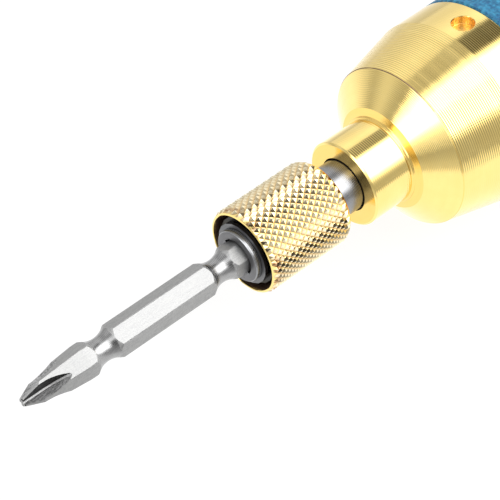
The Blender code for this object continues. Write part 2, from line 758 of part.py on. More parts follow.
def make_hammer_case():
    case = turned("hammer_case", [
        (NOSE_FRONT, NECK_RADIUS - EDGE),
        (NOSE_FRONT + EDGE, NECK_RADIUS),
        (NECK_END, NECK_RADIUS),
        (NECK_END + NECK_STEP_LENGTH, NECK_RADIUS + NECK_STEP_HEIGHT),
        (SHOULDER_END, SHOULDER_RADIUS),
        (TAPER_END, BODY_RADIUS),
        (CASE_END, BODY_RADIUS),
        (CASE_END, SPIGOT_RADIUS),
        (SPIGOT_END, SPIGOT_RADIUS),
        (SPIGOT_END, CAVITY_RADIUS),
        (TAPER_END, CAVITY_RADIUS),
        (CAVITY_FRONT, CASE_MOUTH_RADIUS),
        (CAVITY_FRONT, NOSE_BORE),
        (NOSE_FRONT + NOSE_LIP, NOSE_BORE),
        (NOSE_FRONT + NOSE_LIP, BUSHING_INNER + GAP),
        (NOSE_FRONT, BUSHING_INNER + GAP),
    ], BODY_SIDES, gold("case_gold"))
    tilt = math.radians(SPANNER_HOLE_DEGREES)
    outward = Vector((0, math.sin(tilt), math.cos(tilt)))
    on_axis = place(CASE_END - SPANNER_HOLE_SET_BACK)
    floor = on_axis + outward * (BODY_RADIUS - SPANNER_HOLE_DEPTH)
    top = on_axis + outward * (BODY_RADIUS + OVERRUN)
    cut(case, prism("spanner_hole", floor, top, SPANNER_HOLE_RADIUS, SMALL_SIDES, None, outward))
    edge = on_axis + outward * (BODY_RADIUS - SPANNER_HOLE_CHAMFER)
    cut(case, prism("spanner_hole_edge", edge, top, SPANNER_HOLE_RADIUS, SMALL_SIDES, None, outward,
                    flare=SPANNER_HOLE_CHAMFER + OVERRUN))
    bushing_front = NOSE_FRONT + NOSE_LIP + GAP
    turned("anvil_bushing", [
        (bushing_front, BUSHING_OUTER),
        (CAVITY_FRONT - GAP, BUSHING_OUTER),
        (CAVITY_FRONT - GAP, BUSHING_INNER),
        (bushing_front, BUSHING_INNER),
    ], INNER_SIDES, bronze("bushing_bronze"))


def hammer_outline(side):
    """The rim of a hammer, with its two sides cut flat for the cage's webs."""
    corner = math.degrees(math.acos(HAMMER_HALF_WIDTH / HAMMER_RADIUS))
    steps = 10
    rim = arc((0, 0), HAMMER_RADIUS, corner, 180 - corner, steps)
    rim += arc((0, 0), HAMMER_RADIUS, 180 + corner, 360 - corner, steps)
    return [(x, y - side * HAMMER_PIN_CIRCLE) for x, y in rim]


def hammer_bore(side):
    """The bore of a hammer, drawn in at both sides to make its dogs."""
    points = []
    for start in (-HAMMER_DOG_DEGREES, 180 - HAMMER_DOG_DEGREES):
        end = start + 2 * HAMMER_DOG_DEGREES
        points += arc((0, 0), HAMMER_DOG_REACH, start, end, 4)
        rest = 180 - 2 * HAMMER_DOG_DEGREES
        points += arc((0, 0), HAMMER_BORE, end + rest / 8, end + rest * 7 / 8, 8)
    return [(x, y - side * HAMMER_PIN_CIRCLE) for x, y in points]


def hammer_slot(side):
    """The long hole for the other pin, which lets the hammer swing."""
    swing = 2 * HAMMER_PIN_CIRCLE * math.sin(math.radians(HAMMER_SWING_DEGREES))
    middle = -2 * side * HAMMER_PIN_CIRCLE
    right = arc((swing, middle), HAMMER_HOLE_RADIUS, -90, 90, 5)
    left = arc((-swing, middle), HAMMER_HOLE_RADIUS, 90, 270, 5)
    return right + left


def make_hammer(name, front, side):
    """A hammer that hangs on the upper pin (side 1) or on the lower one (side -1)."""
    pivot = place(front + HAMMER_LENGTH / 2, 0, side * HAMMER_PIN_CIRCLE)
    outlines = [hammer_outline(side), hammer_bore(side),
                circle((0, 0), HAMMER_HOLE_RADIUS, 12), hammer_slot(side)]
    plate(name, outlines, HAMMER_LENGTH, Matrix.Translation(pivot) @ ACROSS_AXIS,
          dark_steel(name + "_steel"))


def make_hammer_cage():
    cage = turned("hammer_cage", [
        (CAGE_FRONT, 0),
        (CAGE_FRONT, CAGE_RADIUS),
        (CAGE_END, CAGE_RADIUS),
        (CAGE_END, 0),
    ], INNER_SIDES, steel("cage_steel"))
    swing = 2 * HAMMER_PIN_CIRCLE * math.sin(math.radians(HAMMER_SWING_DEGREES))
    inside = HAMMER_HALF_WIDTH + swing + GAP
    cut(cage, block("cage_window",
                    (CAGE_FRONT + CAGE_PLATE, -inside, -BODY_RADIUS),
                    (CAGE_BACK, inside, BODY_RADIUS)))
    cut(cage, rod_along("cage_mouth", CAGE_FRONT - OVERRUN, CAGE_FRONT + CAGE_PLATE + GAP,
                        JAW_REACH + JAW_CLEARANCE, INNER_SIDES))
    cut(cage, rod_along("cage_drive_socket", CAGE_BACK - OVERRUN, CAGE_END + OVERRUN,
                        SHAFT_RADIUS + GAP, HEX_SIDES))
    for name, side in (("upper", 1), ("lower", -1)):
        height = side * HAMMER_PIN_CIRCLE
        cut(cage, rod_along(f"cage_{name}_pin_hole", CAGE_FRONT - OVERRUN, CAGE_END + OVERRUN,
                            HAMMER_HOLE_RADIUS, SMALL_SIDES, up=height))
        rod_along(f"hammer_pin_{name}", CAGE_FRONT, CAGE_END, HAMMER_PIN_RADIUS, SMALL_SIDES,
                  steel(f"{name}_pin_steel"), up=height)


def waist_section():
    """The grip's gentle waist, as an arc between its two ends."""
    steps = 4
    return [(GRIP_FRONT + GRIP_LENGTH * i / steps,
             GRIP_RADIUS - GRIP_WAIST_DEPTH * math.sin(math.pi * i / steps))
            for i in range(steps + 1)]


def make_housing():
    steps = 4
    taper = [(HOUSING_TAPER_FRONT + HOUSING_TAPER_LENGTH * i / steps,
              GRIP_RADIUS + (BODY_RADIUS - GRIP_RADIUS) * (1 + math.cos(math.pi * i / steps)) / 2)
             for i in range(steps)]
    turned("motor_housing", [
        (HOUSING_FRONT, BODY_RADIUS - EDGE),
        (HOUSING_FRONT + EDGE, BODY_RADIUS),
        *taper,
        *waist_section()[:-1],
        (GRIP_END - EDGE, GRIP_RADIUS),
        (GRIP_END, GRIP_RADIUS - EDGE),
        (GRIP_END, MOTOR_BORE),
        (PLATE_STEP + GAP, MOTOR_BORE),
        (PLATE_STEP + GAP, HOUSING_SOCKET),
        (HOUSING_FRONT, HOUSING_SOCKET),
    ], BODY_SIDES, blue_coat("housing_blue"))


def make_bearing(name, front, length, outer):
    """Outer ring, inner ring, and the balls in their cage."""
    bore = outer * BEARING_BORE_SHARE
    ball_radius = outer * BEARING_BALL_SHARE
    ring = (outer - bore) / 2 - ball_radius - GAP
    for part, high, low in (("outer", outer, outer - ring), ("inner", bore + ring, bore)):
        turned(f"{name}_{part}", [
            (front, high), (front + length, high), (front + length, low), (front, low),
        ], INNER_SIDES, steel(f"{name}_{part}_steel"))
    circle_radius = bore + ring + GAP + ball_radius
    middle = front + length / 2
    half = BALL_CAGE_THICKNESS / 2
    cage = turned(f"{name}_balls", [
        (middle - half, circle_radius + half), (middle + half, circle_radius + half),
        (middle + half, circle_radius - half), (middle - half, circle_radius - half),
    ], INNER_SIDES, bronze(f"{name}_cage_bronze"))
    balls = bmesh.new()
    for i in range(BEARING_BALLS):
        angle = 2 * math.pi * i / BEARING_BALLS
        centre = place(middle, circle_radius * math.sin(angle), circle_radius * math.cos(angle))
        bmesh.ops.create_uvsphere(balls, u_segments=6, v_segments=4, radius=ball_radius,
                                  matrix=Matrix.Translation(centre))
    data = bpy.data.meshes.new(f"{name}_ball_set")
    balls.to_mesh(data)
    balls.free()
    cut(cage, add_object(f"{name}_ball_set", data, Matrix.Identity(4)), "UNION")


def make_end_plates():
    pocket = BEARING_RADIUS + GAP
    front = turned("front_end_plate", [
        (PLATE_FRONT, SPIGOT_RADIUS),
        (PLATE_STEP, SPIGOT_RADIUS),
        (PLATE_STEP, MOTOR_RADIUS),
        (PLATE_END, MOTOR_RADIUS),
        (PLATE_END, SHAFT_RADIUS + SHAFT_SHOULDER + GAP),
        (BEARING_END + GAP, SHAFT_RADIUS + SHAFT_SHOULDER + GAP),
        (BEARING_END + GAP, pocket),
        (PLATE_FRONT, pocket),
    ], INNER_SIDES, aluminium("front_plate_aluminium"))
    rear_pocket = REAR_BEARING_RADIUS + GAP
    rear = turned("rear_end_plate", [
        (REAR_PLATE_FRONT, MOTOR_RADIUS),
        (REAR_PLATE_END, MOTOR_RADIUS),
        (REAR_PLATE_END, rear_pocket),
        (REAR_BEARING_FRONT - GAP, rear_pocket),
        (REAR_BEARING_FRONT - GAP, REAR_SHAFT_RADIUS + SHAFT_SHOULDER + GAP),
        (REAR_PLATE_FRONT, REAR_SHAFT_RADIUS + SHAFT_SHOULDER + GAP),
    ], INNER_SIDES, aluminium("rear_plate_aluminium"))
    return front, rear


def make_cylinder():
    cylinder = turned("motor_cylinder", [
        (CYLINDER_FRONT, 0),
        (CYLINDER_FRONT, MOTOR_RADIUS),
        (CYLINDER_END, MOTOR_RADIUS),
        (CYLINDER_END, 0),
    ], INNER_SIDES, steel("cylinder_steel"))
    cut(cylinder, rod_along("cylinder_bore", CYLINDER_FRONT - OVERRUN, CYLINDER_END + OVERRUN,
                            CYLINDER_BORE, INNER_SIDES, up=-CYLINDER_OFFSET))
    for i in range(EXHAUST_PORTS):
        station = CYLINDER_FRONT + CYLINDER_LENGTH * (i + 1) / (EXHAUST_PORTS + 1)
        cut(cylinder, rod_across(f"exhaust_port_{i}", station, 0, -MOTOR_RADIUS - OVERRUN, 0,
                                 EXHAUST_PORT_RADIUS, SMALL_SIDES // 2))
    return cylinder


def make_dowel(plates):
    """One long pin at the thick side of the cylinder lines it up with its end plates."""
    height = MOTOR_RADIUS - CYLINDER_WALL
    start = BEARING_END + 3 * GAP
    end = REAR_BEARING_FRONT - 3 * GAP
    for plate_made in plates:
        cut(plate_made, rod_along(f"dowel_hole_{plate_made.name}", start - GAP, end + GAP,
                                  DOWEL_RADIUS + GAP, SMALL_SIDES // 2, up=height))
    rod_along("motor_dowel", start, end, DOWEL_RADIUS, SMALL_SIDES // 2, steel("dowel_steel"),
              up=height)


def make_rotor():
    front = CYLINDER_FRONT + GAP
    end = CYLINDER_END - GAP
    rotor = turned("rotor", [
        (PLATE_FRONT, 0),
        (PLATE_FRONT, SHAFT_RADIUS),
        (BEARING_END + GAP, SHAFT_RADIUS),
        (BEARING_END + GAP, SHAFT_RADIUS + SHAFT_SHOULDER),
        (front, SHAFT_RADIUS + SHAFT_SHOULDER),
        (front, ROTOR_RADIUS),
        (end, ROTOR_RADIUS),
        (end, REAR_SHAFT_RADIUS + SHAFT_SHOULDER),
        (REAR_BEARING_FRONT - GAP, REAR_SHAFT_RADIUS + SHAFT_SHOULDER),
        (REAR_BEARING_FRONT - GAP, REAR_SHAFT_RADIUS),
        (REAR_BEARING_END + GAP, REAR_SHAFT_RADIUS),
        (REAR_BEARING_END + GAP, 0),
    ], INNER_SIDES, steel("rotor_steel"))
    cut(rotor, rod_along("rotor_nose", CAGE_BACK + GAP, PLATE_FRONT + GAP, SHAFT_RADIUS,
                         HEX_SIDES), "UNION")
    vane_top = ROTOR_RADIUS - GAP
    vane_foot = ROTOR_RADIUS * ROTOR_CORE_SHARE
    for i in range(VANES):
        turn = Matrix.Rotation(2 * math.pi * i / VANES, 4, "X")
        half_slot = VANE_THICKNESS / 2 + GAP
        half_vane = VANE_THICKNESS / 2
        cut(rotor, block(f"vane_slot_{i + 1}",
                         (front - OVERRUN / 2, -half_slot, vane_foot - GAP),
                         (end + OVERRUN / 2, half_slot, ROTOR_RADIUS + OVERRUN), turn=turn))
        block(f"vane_{i + 1}", (front + GAP, -half_vane, vane_foot),
              (end - GAP, half_vane, vane_top), black_plastic(f"vane_{i + 1}_fibre"), EDGE, turn)


def make_motor():
    make_rotor()
    make_bearing("front_bearing", BEARING_FRONT, BEARING_LENGTH, BEARING_RADIUS)
    make_bearing("rear_bearing", REAR_BEARING_FRONT, REAR_BEARING_LENGTH, REAR_BEARING_RADIUS)
    make_dowel([*make_end_plates(), make_cylinder()])
    turned("motor_gasket", [
        (GASKET_FRONT, MOTOR_RADIUS),
        (GASKET_FRONT + GASKET_THICKNESS, MOTOR_RADIUS),
        (GASKET_FRONT + GASKET_THICKNESS, SHELL_BORE),
        (GASKET_FRONT, SHELL_BORE),
    ], INNER_SIDES, black_plastic("gasket_rubber"))


def make_reverse_ring():
    track = DETENT_BITE + GAP
    track_half = math.sqrt(DETENT_BALL_RADIUS**2 - (DETENT_BALL_RADIUS - DETENT_BITE) ** 2) + GAP
    ring = turned("reverse_ring", [
        (RING_FRONT, RING_RADIUS - EDGE),
        (RING_FRONT + EDGE, RING_RADIUS),
        (RING_END - EDGE, RING_RADIUS),
        (RING_END, RING_RADIUS - EDGE),
        (RING_END, DETENT_CIRCLE + track_half),
        (RING_END - track, DETENT_CIRCLE + track_half),
        (RING_END - track, DETENT_CIRCLE - track_half),
        (RING_END, DETENT_CIRCLE - track_half),
        (RING_END, RING_BORE),
        (RING_FRONT, RING_BORE),
    ], BODY_SIDES, black_plastic("ring_black"))
    for i in range(RING_GRIPS):
        angle = 2 * math.pi * (i + 0.5) / RING_GRIPS
        reach = RING_RADIUS + RING_GRIP_RADIUS - RING_GRIP_DEPTH
        cut(ring, rod_along(f"ring_grip_{i}", RING_FRONT + 2 * EDGE, RING_END - 2 * EDGE,
                            RING_GRIP_RADIUS, SMALL_SIDES // 2, across=reach * math.sin(angle),
                            up=reach * math.cos(angle)))
    for i in (-1, 0, 1):
        angle = math.radians(REVERSE_DEGREES * i)
        centre = place(detent_station() - DETENT_DIMPLE_DEPTH, DETENT_CIRCLE * math.cos(angle),
                       DETENT_CIRCLE * math.sin(angle))
        cut(ring, ball(f"detent_dimple_{i + 1}", centre, DETENT_BALL_RADIUS, SMALL_SIDES // 2))
    station = REVERSE_PIN_STATION
    cut(ring, rod_up("ring_pin_hole", station, -RING_RADIUS - OVERRUN, -SHELL_BORE,
                     REVERSE_PIN_RADIUS + GAP, SMALL_SIDES // 2))
    rod_up("reverse_pin", station, -RING_RADIUS + GAP, GAP - REVERSE_VALVE_RADIUS + REVERSE_PIN_BITE
           - 2 * GAP, REVERSE_PIN_RADIUS, SMALL_SIDES // 2, steel("reverse_pin_steel"))
    valve = turned("reverse_valve", [
        (REVERSE_VALVE_FRONT, 0),
        (REVERSE_VALVE_FRONT, REVERSE_VALVE_RADIUS),
        (REVERSE_VALVE_END, REVERSE_VALVE_RADIUS),
        (REVERSE_VALVE_END, 0),
    ], INNER_SIDES, bronze("reverse_valve_bronze"))
    cut(valve, rod_up("valve_pin_hole", station, -REVERSE_VALVE_RADIUS - OVERRUN,
                      REVERSE_PIN_BITE - REVERSE_VALVE_RADIUS, REVERSE_PIN_RADIUS + GAP,
                      SMALL_SIDES // 2))
    for i in range(REVERSE_PORTS):
        angle = 2 * math.pi * i / REVERSE_PORTS
        middle = REVERSE_VALVE_RADIUS / 2
        cut(valve, rod_along(f"reverse_port_{i}", REVERSE_VALVE_FRONT - OVERRUN,
                             REVERSE_VALVE_END + OVERRUN,
                             REVERSE_VALVE_RADIUS * REVERSE_PORT_SHARE,
                             SMALL_SIDES // 2, across=middle * math.sin(angle),
                             up=middle * math.cos(angle)))


def detent_station():
    return RING_END - DETENT_BITE + DETENT_BALL_RADIUS


def make_detent():
    centre = detent_station()
    ball("detent_ball", place(centre, DETENT_CIRCLE), DETENT_BALL_RADIUS, SMALL_SIDES // 2,
         steel("detent_ball_steel"))
    start = centre + DETENT_BALL_RADIUS + GAP + DETENT_WIRE / 2
    end = start + DETENT_SPRING_LENGTH
    coil_spring("detent_spring", place(start, DETENT_CIRCLE), place(end, DETENT_CIRCLE),
                DETENT_BALL_RADIUS - DETENT_WIRE / 2, DETENT_SPRING_TURNS, DETENT_WIRE,
                steel("detent_spring_steel"))
    return end + DETENT_WIRE / 2 + GAP


def head_section():
    thread_bore = INLET_THREAD_RADIUS + GAP
    return [
        (REVERSE_VALVE_END + GAP, 0),
        (REVERSE_VALVE_END + GAP, SHELL_BORE),
        (SHELL_FRONT, SHELL_BORE),
        (SHELL_FRONT, MOTOR_RADIUS),
        (HEAD_FRONT, MOTOR_RADIUS),
        (HEAD_FRONT, BODY_RADIUS - HEAD_CHAMFER),
        (HEAD_FRONT + HEAD_CHAMFER, BODY_RADIUS),
        (HEAD_CONE_FRONT, BODY_RADIUS),
        (HEAD_CONE_END, HEAD_END_RADIUS),
        (HEAD_END - EDGE, HEAD_END_RADIUS),
        (HEAD_END, HEAD_END_RADIUS - EDGE),
        (HEAD_END, MUFFLER_OUTER),
        (HEAD_END - MUFFLER_DEPTH, MUFFLER_OUTER),
        (HEAD_END - MUFFLER_DEPTH, MUFFLER_INNER),
        (HEAD_END, MUFFLER_INNER),
        (HEAD_END, thread_bore),
        (HEAD_END - INLET_THREAD_LENGTH - GAP, thread_bore),
        (HEAD_END - INLET_THREAD_LENGTH - GAP, 0),
    ]


def make_ears(head):
    """Two ears on top of the head carry the lever's pin."""
    outer = LEVER_WIDTH / 2 + GAP + EAR_THICKNESS
    foot = MUFFLER_OUTER + EAR_FOOT
    eye = arc((0, 0), EAR_RADIUS, 0, 180, 8)
    reach = LEVER_PIVOT_HEIGHT - foot
    outline = [(EAR_RADIUS, -reach), *eye, (-EAR_RADIUS, -reach)]
    pivot = place(LEVER_PIVOT_STATION, 0, LEVER_PIVOT_HEIGHT)
    boss = plate("head_ears", [outline], 2 * outer, Matrix.Translation(pivot) @ SIDE_VIEW)
    cut(head, boss, "UNION")
    half = LEVER_WIDTH / 2 + GAP
    cut(head, block("lever_slot", (HEAD_FRONT - OVERRUN, -half, BODY_RADIUS - LEVER_SLOT_DEPTH),
                    (HEAD_END, half, LEVER_PIVOT_HEIGHT + 2 * EAR_RADIUS)))
    cut(head, rod_across("lever_pin_hole", LEVER_PIVOT_STATION, LEVER_PIVOT_HEIGHT,
                         -outer - OVERRUN, outer + OVERRUN, LEVER_PIN_RADIUS + GAP, SMALL_SIDES))
    rod_across("lever_pin", LEVER_PIVOT_STATION, LEVER_PIVOT_HEIGHT, -outer, outer,
               LEVER_PIN_RADIUS, SMALL_SIDES, steel("lever_pin_steel"))


def make_head():
    head = turned("rear_head", head_section(), BODY_SIDES, aluminium("head_aluminium"))
    make_ears(head)
    cut(head, rod_up("valve_bore", THROTTLE_STATION, -BODY_RADIUS - OVERRUN, VALVE_SEAT_TOP + GAP,
                     VALVE_BORE_RADIUS, INNER_SIDES))
    cut(head, rod_up("valve_chamber", THROTTLE_STATION, VALVE_SEAT_TOP, VALVE_CHAMBER_TOP,
                     VALVE_PORT_RADIUS, SMALL_SIDES))
    cut(head, rod_up("throttle_pin_bore", THROTTLE_STATION, VALVE_CHAMBER_TOP - GAP,
                     BODY_RADIUS + OVERRUN, THROTTLE_PIN_RADIUS + GAP, SMALL_SIDES))
    cut(head, rod_along("air_passage", REVERSE_VALVE_END, THROTTLE_STATION,
                        VALVE_PASSAGE_RADIUS, SMALL_SIDES // 2, up=AIR_PASSAGE_HEIGHT))
    cut(head, rod_along("inlet_passage", THROTTLE_STATION, HEAD_END - INLET_THREAD_LENGTH,
                        INLET_PASSAGE_RADIUS, SMALL_SIDES))
    cut(head, rod_along("detent_bore", HEAD_FRONT - OVERRUN, make_detent(),
                        DETENT_BALL_RADIUS + GAP, SMALL_SIDES // 2, across=DETENT_CIRCLE))
    slot_reach = MOTOR_RADIUS * math.sin(math.radians(REVERSE_DEGREES)) + REVERSE_PIN_RADIUS + GAP
    half = REVERSE_PIN_RADIUS + GAP
    station = REVERSE_PIN_STATION
    cut(head, block("reverse_slot", (station - half, -slot_reach, -MOTOR_RADIUS - OVERRUN),
                    (station + half, slot_reach, OVERRUN - SHELL_BORE)))
    for name, side in (("left", -1), ("right", 1)):
        ends = sorted((side * (HEAD_END_RADIUS + OVERRUN),
                       side * (HEAD_END_RADIUS - BAIL_HOLE_DEPTH)))
        cut(head, rod_across(f"bail_hole_{name}", BAIL_STATION, 0, *ends,
                             BAIL_WIRE_RADIUS + GAP, SMALL_SIDES // 2))


def make_inlet():
    bore_end = TOOL_END - INLET_BORE_DEPTH
    front = HEAD_END - INLET_THREAD_LENGTH
    bushing = turned("inlet_bushing", [
        (front, INLET_THREAD_RADIUS),
        (INLET_HEX_FRONT + GAP, INLET_THREAD_RADIUS),
        (INLET_COLLAR_FRONT - GAP, INLET_COLLAR_RADIUS),
        (TOOL_END - EDGE, INLET_COLLAR_RADIUS),
        (TOOL_END, INLET_COLLAR_RADIUS - EDGE),
        (TOOL_END, INLET_BORE_RADIUS + INLET_CHAMFER),
        (TOOL_END - INLET_CHAMFER, INLET_BORE_RADIUS),
        (bore_end, INLET_BORE_RADIUS),
        (bore_end, INLET_PASSAGE_RADIUS),
        (front, INLET_PASSAGE_RADIUS),
    ], INNER_SIDES, steel("inlet_steel"))
    nut = turned("inlet_hexagon", [
        (INLET_HEX_FRONT, INLET_HEX_CORNER),
        (INLET_COLLAR_FRONT, INLET_HEX_CORNER),
        (INLET_COLLAR_FRONT, INLET_BORE_RADIUS + INLET_CHAMFER),
        (INLET_HEX_FRONT, INLET_BORE_RADIUS + INLET_CHAMFER),
    ], HEX_SIDES)
    cut(bushing, nut, "UNION")
    rim = bore_end + GAP
    cone_radius = INLET_PASSAGE_RADIUS - GAP
    tip = rim - STRAINER_LENGTH
    turned("inlet_strainer", [
        (tip, 0),
        (tip, STRAINER_END_RADIUS),
        (rim, cone_radius),
        (rim, INLET_BORE_RADIUS - GAP),
        (rim + STRAINER_RIM, INLET_BORE_RADIUS - GAP),
        (rim + STRAINER_RIM, cone_radius - STRAINER_WALL),
        (rim, cone_radius - STRAINER_WALL),
        (tip + STRAINER_WALL, STRAINER_END_RADIUS - STRAINER_WALL),
        (tip + STRAINER_WALL, 0),
    ], INNER_SIDES, steel("strainer_steel"))


def make_exhaust():
    front = HEAD_END - MUFFLER_DEPTH + GAP
    turned("exhaust_muffler", [
        (front, MUFFLER_OUTER - GAP),
        (HEAD_END, MUFFLER_OUTER - GAP),
        (HEAD_END, MUFFLER_INNER + GAP),
        (front, MUFFLER_INNER + GAP),
    ], INNER_SIDES, black_plastic("muffler_felt"))
    plate_front = HEAD_END + GAP
    plate_end = plate_front + DEFLECTOR_THICKNESS
    high = HEAD_END_RADIUS - DEFLECTOR_SET_BACK
    low = INLET_HEX_CORNER + 2 * GAP
    deflector = turned("exhaust_deflector", [
        (plate_front, high),
        (plate_end - EDGE, high),
        (plate_end, high - EDGE),
        (plate_end, low),
        (plate_front, low),
    ], BODY_SIDES, black_plastic("deflector_black"))
    middle = (high + low) / 2
    half_length = DEFLECTOR_SLOT_LENGTH / 2
    half_width = DEFLECTOR_SLOT_WIDTH / 2
    for i in range(DEFLECTOR_SLOTS):
        turn = Matrix.Rotation(2 * math.pi * i / DEFLECTOR_SLOTS, 4, "X")
        cut(deflector, block(f"deflector_slot_{i}",
                             (plate_front - OVERRUN, -half_width, middle - half_length),
                             (plate_end + OVERRUN, half_width, middle + half_length), turn=turn))


def make_throttle_valve():
    seat = rod_up("valve_seat", THROTTLE_STATION, VALVE_SEAT_FOOT, VALVE_SEAT_TOP,
                  VALVE_BORE_RADIUS - GAP, INNER_SIDES, bronze("seat_bronze"))
    cut(seat, rod_up("valve_port", THROTTLE_STATION, VALVE_SEAT_FOOT - OVERRUN,
                     VALVE_SEAT_TOP + OVERRUN, VALVE_PORT_RADIUS, SMALL_SIDES))
    poppet_top = VALVE_SEAT_FOOT - GAP
    poppet_foot = poppet_top - POPPET_LENGTH
    poppet = rod_up("throttle_valve", THROTTLE_STATION, poppet_foot, poppet_top,
                    VALVE_PORT_RADIUS + POPPET_OVERLAP, INNER_SIDES,
                    black_plastic("poppet_rubber"))
    cut(poppet, rod_up("poppet_stem", THROTTLE_STATION, poppet_foot - POPPET_STEM_LENGTH,
                       poppet_foot + GAP, POPPET_STEM_RADIUS, SMALL_SIDES), "UNION")
    plug_foot = PLUG_RECESS - BODY_RADIUS
    plug_top = plug_foot + PLUG_LENGTH
    plug = rod_up("valve_plug", THROTTLE_STATION, plug_foot, plug_top, VALVE_BORE_RADIUS - GAP,
                  INNER_SIDES, steel("plug_steel"))
    cut(plug, rod_up("plug_key", THROTTLE_STATION, plug_foot - OVERRUN, plug_foot + PLUG_KEY_DEPTH,
                     PLUG_KEY_RADIUS, HEX_SIDES))
    inset = GAP + VALVE_WIRE / 2
    coil_spring("valve_spring", place(THROTTLE_STATION, 0, plug_top + inset),
                place(THROTTLE_STATION, 0, poppet_foot - inset), VALVE_SPRING_RADIUS,
                VALVE_SPRING_TURNS, VALVE_WIRE, steel("valve_spring_steel"))
    reach = LEVER_PIVOT_STATION - THROTTLE_STATION - THROTTLE_PIN_RADIUS
    tilt = math.radians(LEVER_REST_DEGREES)
    skin = (LEVER_SKIN - LEVER_ABOVE_LINE) / math.cos(tilt)
    pin_top = LEVER_PIVOT_HEIGHT + reach * math.tan(tilt) - skin - GAP
    rod_up("throttle_pin", THROTTLE_STATION, VALVE_SEAT_FOOT, pin_top, THROTTLE_PIN_RADIUS,
           SMALL_SIDES, steel("throttle_pin_steel"))


def make_lever():
    """A channel of sheet metal, with its eye on the pin and a lip at the front."""
    front = -LEVER_LENGTH
    lip = front + LEVER_LIP_LENGTH
    high = LEVER_ABOVE_LINE
    low = -LEVER_BELOW_LINE
    eye_start = -math.degrees(math.asin(LEVER_BELOW_LINE / LEVER_EYE_RADIUS))
    eye_end = 180 - math.degrees(math.asin(LEVER_ABOVE_LINE / LEVER_EYE_RADIUS))
    outline = [
        (lip, low),
        *arc((0, 0), LEVER_EYE_RADIUS, -180 - eye_start, eye_end, 10),
        (lip, high),
        (front, high + LEVER_LIP_RISE),
        (front, high + LEVER_LIP_RISE - LEVER_SKIN),
    ]
    hole = circle((0, 0), LEVER_PIN_RADIUS + GAP, 12)
    pivot = place(LEVER_PIVOT_STATION, 0, LEVER_PIVOT_HEIGHT)
    tilt = Matrix.Rotation(math.radians(LEVER_REST_DEGREES), 4, "Y")
    matrix = Matrix.Translation(pivot) @ tilt @ SIDE_VIEW
    lever = plate("throttle_lever", [outline, hole], LEVER_WIDTH, matrix,
                  black_plastic("lever_black"))
    channel_front = lip + 2 * LEVER_SKIN
    channel_end = -LEVER_EYE_RADIUS - LEVER_SKIN
    roof = high - LEVER_SKIN
    channel = [(channel_front, low - OVERRUN), (channel_end, low - OVERRUN),
               (channel_end, roof), (channel_front, roof)]
    cut(lever, plate("lever_channel", [channel], LEVER_WIDTH - 2 * LEVER_SKIN, matrix))


def make_bail():
    """A half ring of wire round the end of the head, with its ends bent in."""
    inner_end = HEAD_END_RADIUS - BAIL_HOLE_DEPTH + GAP
    corner = arc((BAIL_RADIUS - BAIL_CORNER, -BAIL_CORNER), BAIL_CORNER, 90, 0,
                 BAIL_SIDES_PER_CORNER)
    start = math.degrees(math.asin(BAIL_CORNER / BAIL_RADIUS))
    loop = arc((0, 0), BAIL_RADIUS, -start, start - 180, BAIL_ARC_STEPS)
    half = [(inner_end, 0), *corner[:-1]]
    points = half + loop + [(-x, y) for x, y in reversed(half)]
    wire("hang_bail", [place(BAIL_STATION, x, y) for x, y in points], BAIL_WIRE_RADIUS, 2,
         steel("bail_steel"))


clear_scene()
tool = new_collection("pneumatic_screwdriver")
cutters = new_collection("cutters")
make_bit()
make_anvil()
make_chuck()
make_hammer_case()
make_hammer("hammer_front", HAMMERS_FRONT, 1)
make_hammer("hammer_rear", HAMMERS_MIDDLE + GAP, -1)
make_hammer_cage()
make_housing()
make_motor()
make_reverse_ring()
make_head()
make_inlet()
make_exhaust()
make_throttle_valve()
make_lever()
make_bail()
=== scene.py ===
import json
import math

import bmesh
import bpy
from mathutils import Matrix, Vector


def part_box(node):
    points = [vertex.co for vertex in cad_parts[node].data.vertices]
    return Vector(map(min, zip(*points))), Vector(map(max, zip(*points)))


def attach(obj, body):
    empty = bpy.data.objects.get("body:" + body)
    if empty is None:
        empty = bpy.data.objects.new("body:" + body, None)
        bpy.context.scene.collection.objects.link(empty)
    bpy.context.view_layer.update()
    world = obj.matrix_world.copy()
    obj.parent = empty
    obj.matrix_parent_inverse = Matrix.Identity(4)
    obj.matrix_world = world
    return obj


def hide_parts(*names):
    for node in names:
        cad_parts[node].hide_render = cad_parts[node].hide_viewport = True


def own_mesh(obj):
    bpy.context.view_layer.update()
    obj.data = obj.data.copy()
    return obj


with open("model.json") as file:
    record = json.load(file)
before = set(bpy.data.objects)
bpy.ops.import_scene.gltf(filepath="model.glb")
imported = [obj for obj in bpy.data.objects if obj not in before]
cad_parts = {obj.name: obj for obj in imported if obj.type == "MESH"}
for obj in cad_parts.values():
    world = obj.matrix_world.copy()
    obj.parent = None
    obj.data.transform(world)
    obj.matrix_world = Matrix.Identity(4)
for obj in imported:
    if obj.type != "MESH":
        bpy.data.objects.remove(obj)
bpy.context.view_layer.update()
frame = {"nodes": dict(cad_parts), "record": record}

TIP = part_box("bit")[0].x
AXIS_HEIGHT = sum(corner.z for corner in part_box("anvil")) / 2
MERGE = 0.000001
GAP = 0.0003
OVERRUN = 0.002
TURNED_EDGE = 0.0004
WIDE_EDGE = 0.0008
FINE_EDGE = 0.00012
THIN_EDGE = 0.0001
FINE_SIDES = 128
SMALL_SIDES = 32
HEX_SIDES = 6
END_FACING = 0.9  # an end's normal has more than this share along the tool
WALL_FACING = 0.5  # and a bore wall's less than this

